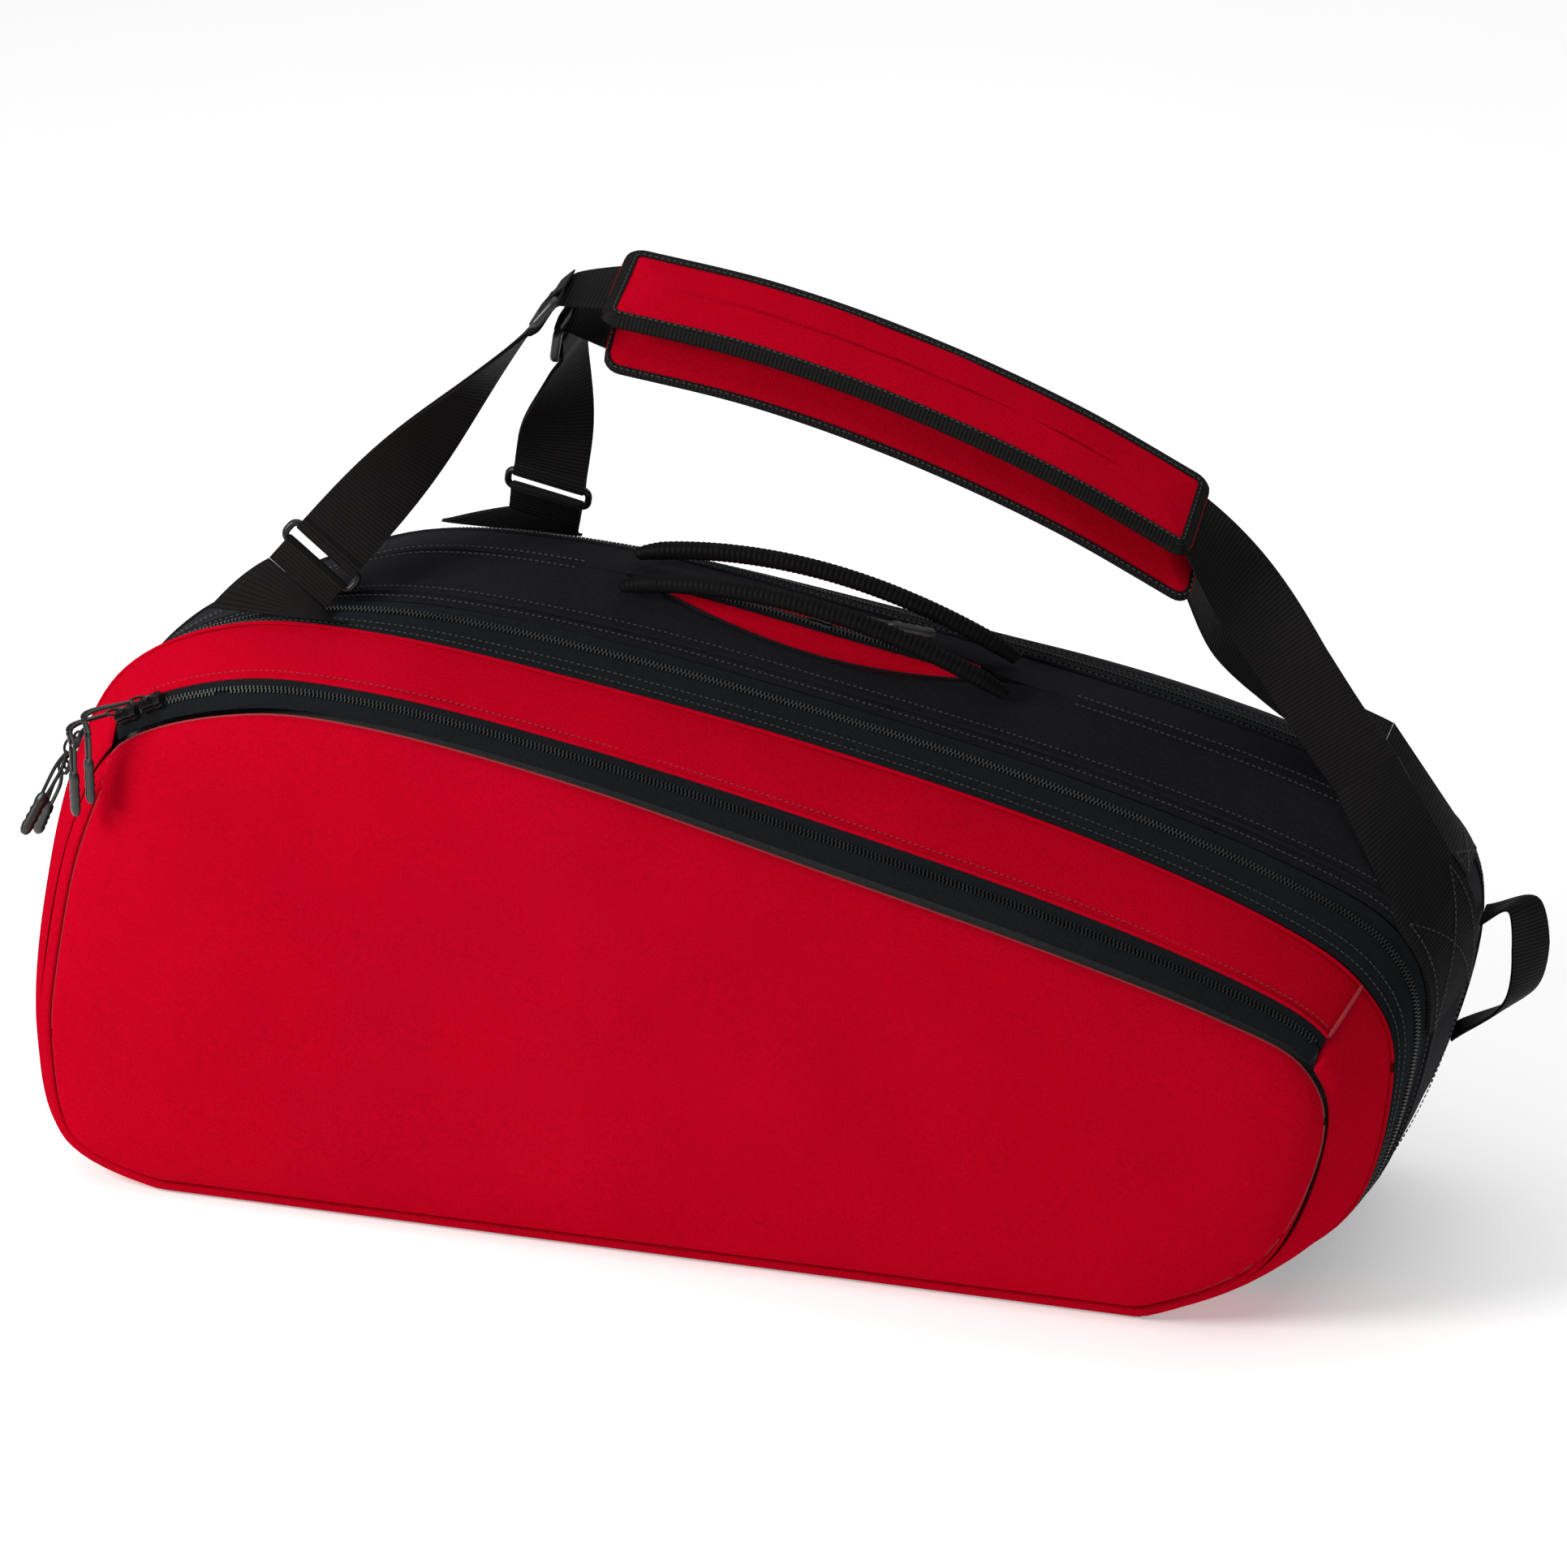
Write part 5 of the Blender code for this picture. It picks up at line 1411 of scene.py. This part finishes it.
class PadForm:
    """A pad's middle surface: places along and across it, in metres."""

    def __init__(self, strap):
        line = strap.pad_line
        lengths = [(b - a).length for a, b in zip(line, line[1:])]
        self.places = as_array(line)
        self.across = strap.pad_across
        self.run = np.concatenate([[0.0], np.cumsum(lengths)])
        self.length = self.run[-1]
        self.half_length = self.length / 2
        self.half_width = settings().sizes.pad_width / 2

    def spot(self, along):
        """The point of the pad's line at one distance from its start."""
        return Vector([np.interp(along, self.run, self.places[:, k]) for k in range(3)])

    def at(self, along, across):
        """A point of the middle surface, and the direction out of it."""
        place_along = np.clip(along + self.half_length, 0.0, self.length)
        near = self.spot(max(place_along - PAD_REACH, 0.0))
        far = self.spot(min(place_along + PAD_REACH, self.length))
        normal = (far - near).normalized().cross(self.across).normalized()
        return self.spot(place_along) + self.across * across, normal

    def loop(self, inset):
        """Places round the pad at one distance from its edge."""
        radius = max(settings().sizes.pad_corner - inset, PAD_LEAST_CORNER)
        return rounded_loop(self.half_length - inset, self.half_width - inset, radius)

    def height(self, inset):
        """Half thickness of the pad at one distance from its edge."""
        sizes = settings().sizes
        t = min(1.0, inset / (self.half_width * PAD_FULL))
        return (sizes.pad_edge + (sizes.pad_crown - sizes.pad_edge) * (1 - (1 - t) ** PAD_SWELL)) / 2


def make_pad(strap, binding):
    """A crowned shoulder pad with a bound edge and its stitches."""
    form = PadForm(strap)
    top = []
    bottom = []
    for inset in (*PAD_INSETS, form.half_width - PAD_MIDDLE):
        half = form.height(inset) * (PAD_RIM if inset == 0.0 else 1.0)
        upper = []
        lower = []
        for along, across in form.loop(inset):
            centre, normal = form.at(along, across)
            spot = Vector((along * PUFF_SCALE[0], across * PUFF_SCALE[1], strap.side))
            puff = noise.noise(spot) * PAD_PUFF * min(1.0, inset / PUFF_INSET)
            upper.append(tuple(centre + normal * (half + puff)))
            lower.append(tuple(centre - normal * (half + puff)))
        top.append(upper)
        bottom.append(lower)
    name = f"{strap.label}_pad_cushion"
    item = closed_disc(name, np.array(bottom[::-1]), np.array(top[::-1]), "red_fabric")
    lay_pad_weave(item, form)
    place(item, strap.body, "red_fabric", f"{strap.label}_strap_pad")
    make_binding(strap, form, binding)


def lay_pad_weave(item, form):
    """Run a pad's weave along the strap."""
    mesh = item.data
    places = as_array(v.co for v in mesh.vertices)
    across = places @ np.array(tuple(form.across))
    mesh.uv_layers.remove(mesh.uv_layers["cloth"])
    set_weave(mesh, np.stack([across, places[:, 0]], axis=1))


def make_binding(strap, form, width):
    """Tape folded over a pad's edge, stitched near its inner side on both faces."""
    lift = BINDING_LIFT
    rows = [(width, 1, BINDING_EDGE), (width * 0.96, 1, lift), (width * 0.5, 1, lift), (0.0005, 1, lift),
            (-0.0007, 0.5, 0.0), (-0.0007, -0.5, 0.0), (0.0005, -1, lift), (width * 0.5, -1, lift),
            (width * 0.96, -1, lift), (width, -1, BINDING_EDGE)]
    points = []
    for inset, face, rise in rows:
        half = form.height(max(inset, 0.0))
        ring = []
        for along, across in form.loop(inset):
            centre, normal = form.at(along, across)
            over = max(0.0, abs(along) - form.half_length)
            run = normal.cross(form.across) * (-1.0 if along > 0 else 1.0)
            ring.append(centre - run * over + normal * (face * half + (rise if face > 0 else -rise)))
        points.append(ring)
    count = len(points[0])
    faces = []
    for r in range(len(points) - 1):
        for k in range(count):
            n = (k + 1) % count
            faces.append((r * count + k, r * count + n, (r + 1) * count + n, (r + 1) * count + k))
    mesh = bpy.data.meshes.new(f"{strap.label}_pad_binding")
    mesh.from_pydata([tuple(p) for ring in points for p in ring], [], faces)
    run = running_length(as_array(points[0]))
    weave = [np.stack([np.full(count, r * BINDING_WEAVE), run], axis=1) for r in range(len(points))]
    set_weave(mesh, np.concatenate(weave))
    shade(mesh, angle=60)
    item = new_object(f"{strap.label}_pad_binding", mesh, "black_webbing")
    place(item, strap.body, "black_webbing")
    inset = width - BINDING_STITCHES
    out = form.height(inset) + lift + BINDING_EDGE
    lines = []
    for face in (1, -1):
        path = []
        normals = []
        for along, across in form.loop(inset):
            centre, normal = form.at(along, across)
            path.append(centre + normal * face * out)
            normals.append(normal * face)
        lines.append((path + path[:1], normals + normals[:1]))
    stitches(f"{strap.label}_binding_stitches", lines, "black_thread", strap.body, "black_webbing")


def make_strap(label):
    """One shoulder strap, from its tab to its sewn end."""
    strap = Strap(label)
    make_tab(strap)
    make_ring(strap)
    make_lock(strap)
    make_strap_webbing(strap)
    make_sewn_end(strap)
    sizes = settings().sizes
    make_pad(strap, sizes.front_binding if label == "front" else sizes.rear_binding)


def make_haul_loop():
    """Loop of webbing sewn on the right end."""
    first = ZIP_LAST + cad_step(HAUL_STEPS)
    lift = SEAT + WEBBING_THICKNESS / 2
    high = skin(first, HAUL_Y, lift)
    low = skin(first + cad_step(HAUL_STEPS), HAUL_Y, lift)
    out = ALONG * HAUL_REACH
    bends = [high.lerp(low, down) + out * share for down, share in (HAUL_SHOULDER, HAUL_BELLY)]
    points = curve_through([high, *bends, low], 14)
    rows = turning_rows(points, (BACK, BACK + ALONG, BACK), HAUL_WIDTH, WEBBING_THICKNESS)
    item = ribbon("haul_loop_webbing", rows, 9, "black_webbing")
    place(item, "core", "black_webbing", "haul_loop")


# Sliders

def slider_parts(centre, run, out):
    """A slider: two waisted plates, a bridge between them and a lug for its bail."""
    side = out.cross(run)
    parts = []
    ring = SLIDER_PLATE + [(u, -w) for u, w in reversed(SLIDER_PLATE)]
    count = len(ring)
    faces = [tuple(range(count)), tuple(reversed(range(count, 2 * count)))]
    faces += [(k, (k + 1) % count, (k + 1) % count + count, k + count) for k in range(count)]
    for height in (-PLATE_OUT, PLATE_OUT):
        points = []
        for rise in (-PLATE_HALF, PLATE_HALF):
            points += [centre + run * u + side * w + out * (height + rise) for u, w in ring]
        parts.append((points, faces))
    parts.append(block(centre + run * BRIDGE_ALONG, run, side, out, BRIDGE_SIZE))
    lug = [centre + run * u + out * v for u, v in SLIDER_LUG]
    parts.append(tube_part(lug, BAIL_WIRE, 8, False, side))
    return parts


def pull_parts(points):
    """A pull along its points: its wire bail, and its doubled cord with a moulded grip."""
    top, cord, grip, tip = points
    hang = (tip - grip).normalized()
    lead = (cord - top).normalized()
    wide = lead.cross(hang)
    if wide.length < 0.2:
        wide = hang.cross(BACK if abs(hang.y) < 0.8 else UP)
    wide.normalize()
    thick = wide.cross(hang)
    tie = top + lead * min((cord - top).length, BAIL_LENGTH)
    loop = []
    for k in range(BAIL_PARTS):
        turn = 2 * pi * k / BAIL_PARTS
        loop.append(top.lerp(tie, 0.5 - 0.52 * cos(turn)) + wide * (BAIL_HALF * sin(turn)))
    metal = [tube_part(loop, BAIL_WIRE, 8, True, thick)]
    soft = []
    for s in (-1, 1):
        line = [tie - lead * 0.001, cord.lerp(grip, 0.4) + wide * CORD_BELLY * s,
                grip + hang * CORD_LOW + wide * CORD_APART * s]
        if (cord - tie).length > BAIL_LENGTH / 4:
            line.insert(1, cord + wide * CORD_APART * s)
        soft.append(tube_part(curve_through(line, 6), CORD_RADIUS, 8))
    rings = [grip + hang * (share * (tip - grip).length) for share, _ in GRIP_PROFILE]
    radii = [radius * GRIP_RADIUS for _, radius in GRIP_PROFILE]
    soft.append(tube_part(rings, radii, 12, False, thick, GRIP_FLAT))
    return metal, soft


def make_slider(name):
    """Dress one slider and its pull where their solids are."""
    low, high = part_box(f"{name}_slider")
    centre = (low + high) / 2
    pull = as_array(v.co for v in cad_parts[f"{name}_pull"].data.vertices)
    run, out = SLIDER_LINES[name](centre)
    item = join_parts(f"{name}_slider_body", slider_parts(centre, run, out), "black_metal")
    place(item, f"{name}_slider", "black_metal", f"{name}_slider")
    metal, soft = pull_parts(pull_points(name, centre, out, pull))
    place(join_parts(f"{name}_pull_bail", metal, "black_metal"), f"{name}_pull", "black_metal")
    item = join_parts(f"{name}_pull_grip", soft, "black_plastic")
    place(item, f"{name}_pull", "black_plastic", f"{name}_pull")


def along_skin(step, y):
    """Direction along the outline at one depth, and the direction out of the bag."""
    outline = section(round(y, 6))
    run = (outline[step + 1] - outline[step - 1]).normalized()
    return Vector((run.x, 0.0, run.y)), Vector((-run.y, 0.0, run.x))


def pocket_line(_):
    """Directions of the pocket's sliders, along the zip and out of it."""
    run, out = along_skin(ZIP_FIRST + STEPS // CAD_STEPS, -POCKET_TEETH_Y)
    return run, (out - BACK * POCKET_SLIDER_LEAN).normalized()


def centre_line(centre):
    """Directions of the centre slider, along the spine and out of it."""
    rise = top_height(centre.x + SLIDER_REACH, 0.0) - top_height(centre.x - SLIDER_REACH, 0.0)
    run = Vector((2 * SLIDER_REACH, 0.0, rise)).normalized()
    return run, Vector((-run.z, 0.0, run.x))


SLIDER_LINES = {
    "front_upper": lambda _: along_skin(LEFT_POINT * STEPS, -TEETH_Y),
    "front_lower": lambda _: along_skin(LEFT_POINT * STEPS, -TEETH_Y),
    "rear_upper": lambda _: along_skin(LEFT_POINT * STEPS, TEETH_Y),
    "rear_lower": lambda _: along_skin(LEFT_POINT * STEPS, TEETH_Y),
    "pocket_1": pocket_line,
    "pocket_2": pocket_line,
    "centre": centre_line,
}


def pull_points(name, centre, out, pull):
    """The pull's four places: on the slider, at the cord, at the grip and at the tip."""
    top = centre + out * PULL_OUT
    if name.startswith("pocket"):
        lowest = pull[:, 2].min()
        reach = pull[pull[:, 2] < lowest + PULL_LOW]
        tip = Vector((reach[:, 0].mean(), reach[:, 1].mean(), lowest + PULL_END))
        grip = tip + UP * GRIP_LENGTH
        return top, grip + UP * CORD_LENGTH, grip, tip
    far = max(pull, key=lambda p: (Vector(p) - top).length)
    near = np.linalg.norm(pull - far, axis=1) < PULL_NEAR
    tip = Vector(pull[near].mean(axis=0))
    hang = (tip - top).normalized()
    return top, top + hang * BAIL_LENGTH, tip - hang * GRIP_LENGTH, tip


# Stage

def area_light(name, place_at, target, energy, size, tone):
    """A round soft light that faces its target."""
    data = bpy.data.lights.new(name, "AREA")
    data.energy = energy
    data.shape = "DISK"
    data.size = size
    data.color = tone
    light = bpy.data.objects.new(name, data)
    bpy.context.scene.collection.objects.link(light)
    light.location = place_at
    light.rotation_mode = "QUATERNION"
    light.rotation_quaternion = (target - place_at).to_track_quat("-Z", "Y")


def make_stage():
    """The floor, the even light, three soft lights and the camera."""
    stage = settings().stage
    scene = bpy.context.scene
    floor_finish("studio_floor", stage.floor, stage.glow)
    half = stage.floor_size / 2
    corners = ((-half, -half), (half, -half), (half, half), (-half, half))
    mesh = bpy.data.meshes.new("studio_floor")
    mesh.from_pydata([(x, y, -GAP) for x, y in corners], [], [(0, 1, 2, 3)])
    new_object("studio_floor", mesh, "studio_floor")
    world = bpy.data.worlds.new("studio_world")
    world.use_nodes = True
    sky = world.node_tree.nodes["Background"]
    sky.inputs["Color"].default_value = (*WHITE, 1.0)
    sky.inputs["Strength"].default_value = stage.sky
    scene.world = world
    target = Vector((0.0, 0.0, stage.target_height))
    area_light("key_light", KEY_PLACE, target, stage.key, KEY_SIZE, WARM)
    area_light("fill_light", FILL_PLACE, target, stage.fill, FILL_SIZE, COOL)
    area_light("top_light", TOP_PLACE, TOP_TARGET, stage.top, TOP_SIZE, WHITE)
    data = bpy.data.cameras.new("camera")
    data.lens = stage.lens
    data.sensor_width = SENSOR
    camera = bpy.data.objects.new("camera", data)
    scene.collection.objects.link(camera)
    level = cos(stage.elevation)
    back = Vector((sin(stage.azimuth) * level, -cos(stage.azimuth) * level, sin(stage.elevation)))
    camera.location = target + back * stage.distance
    camera.rotation_mode = "QUATERNION"
    camera.rotation_quaternion = (-back).to_track_quat("-Z", "Y")
    scene.camera = camera
    scene.view_settings.view_transform = "Standard"


# Operators

class BagOperator(bpy.types.Operator):
    """Base of the bag's operators."""
    bl_options = {"REGISTER", "UNDO"}

    def execute(self, context):
        self.make()
        return {"FINISHED"}


class RACKETBAG_OT_finishes(BagOperator):
    """Make the bag's materials"""
    bl_idname = "racketbag.finishes"
    bl_label = "Finishes"

    def make(self):
        make_finishes()


class RACKETBAG_OT_core(BagOperator):
    """Make the base, the core panels and the inner walls"""
    bl_idname = "racketbag.core"
    bl_label = "Base and Core"

    def make(self):
        make_base()
        make_core()


class RACKETBAG_OT_shells(BagOperator):
    """Make the front and rear shells with their main zips"""
    bl_idname = "racketbag.shells"
    bl_label = "Shells and Main Zips"

    def make(self):
        make_shell(-1, "front", "front_shell", "red_fabric")
        make_shell(1, "rear", "rear_shell", "black_fabric")
        make_main_zip(-1, "front", "front_shell")
        make_main_zip(1, "rear", "rear_shell")
        make_rear_panel()


class RACKETBAG_OT_front_pocket(BagOperator):
    """Make the moulded front panel and its pocket"""
    bl_idname = "racketbag.front_pocket"
    bl_label = "Front Panel and Pocket"

    def make(self):
        make_front_panel()
        make_pocket()


class RACKETBAG_OT_centre_pocket(BagOperator):
    """Make the red pocket between the handles"""
    bl_idname = "racketbag.centre_pocket"
    bl_label = "Centre Pocket"

    def make(self):
        make_centre_pocket()


class RACKETBAG_OT_handles(BagOperator):
    """Make the two carry handles"""
    bl_idname = "racketbag.handles"
    bl_label = "Carry Handles"

    def make(self):
        sizes = settings().sizes
        make_handle(-1, "front", sizes.front_handle_rise, sizes.front_handle_lean)
        make_handle(1, "rear", sizes.rear_handle_rise, sizes.rear_handle_lean)


class RACKETBAG_OT_straps(BagOperator):
    """Make the shoulder straps and the haul loop"""
    bl_idname = "racketbag.straps"
    bl_label = "Straps and Haul Loop"

    def make(self):
        make_strap("front")
        make_strap("rear")
        make_haul_loop()


class RACKETBAG_OT_sliders(BagOperator):
    """Make the zip sliders and their pulls"""
    bl_idname = "racketbag.sliders"
    bl_label = "Sliders and Pulls"

    def make(self):
        for name in SLIDER_LINES:
            make_slider(name)


class RACKETBAG_OT_stage(BagOperator):
    """Make the floor, the lights and the camera"""
    bl_idname = "racketbag.stage"
    bl_label = "Stage"

    def make(self):
        make_stage()


OPERATORS = (RACKETBAG_OT_finishes, RACKETBAG_OT_core, RACKETBAG_OT_shells, RACKETBAG_OT_front_pocket,
             RACKETBAG_OT_centre_pocket, RACKETBAG_OT_handles, RACKETBAG_OT_straps, RACKETBAG_OT_sliders,
             RACKETBAG_OT_stage)


class RACKETBAG_PT_sidebar(bpy.types.Panel):
    """Lists the bag's operators."""
    bl_label = "Racket Bag"
    bl_idname = "RACKETBAG_PT_sidebar"
    bl_space_type = "VIEW_3D"
    bl_region_type = "UI"
    bl_category = "Racket Bag"

    def draw(self, context):
        for operator in OPERATORS:
            self.layout.operator(operator.bl_idname)


GROUPS = (BagSizes, BagFinishes, BagStage, RacketBag)


def register():
    for group in GROUPS:
        bpy.utils.register_class(group)
    bpy.types.Scene.racket_bag = bpy.props.PointerProperty(type=RacketBag)
    for item in (*OPERATORS, RACKETBAG_PT_sidebar):
        bpy.utils.register_class(item)


def unregister():
    for item in (RACKETBAG_PT_sidebar, *reversed(OPERATORS)):
        bpy.utils.unregister_class(item)
    del bpy.types.Scene.racket_bag
    for group in reversed(GROUPS):
        bpy.utils.unregister_class(group)


def main():
    register()
    bpy.ops.racketbag.finishes()
    bpy.ops.racketbag.core()
    bpy.ops.racketbag.shells()
    bpy.ops.racketbag.front_pocket()
    bpy.ops.racketbag.centre_pocket()
    bpy.ops.racketbag.handles()
    bpy.ops.racketbag.straps()
    bpy.ops.racketbag.sliders()
    bpy.ops.racketbag.stage()


if __name__ == "__main__":
    main()
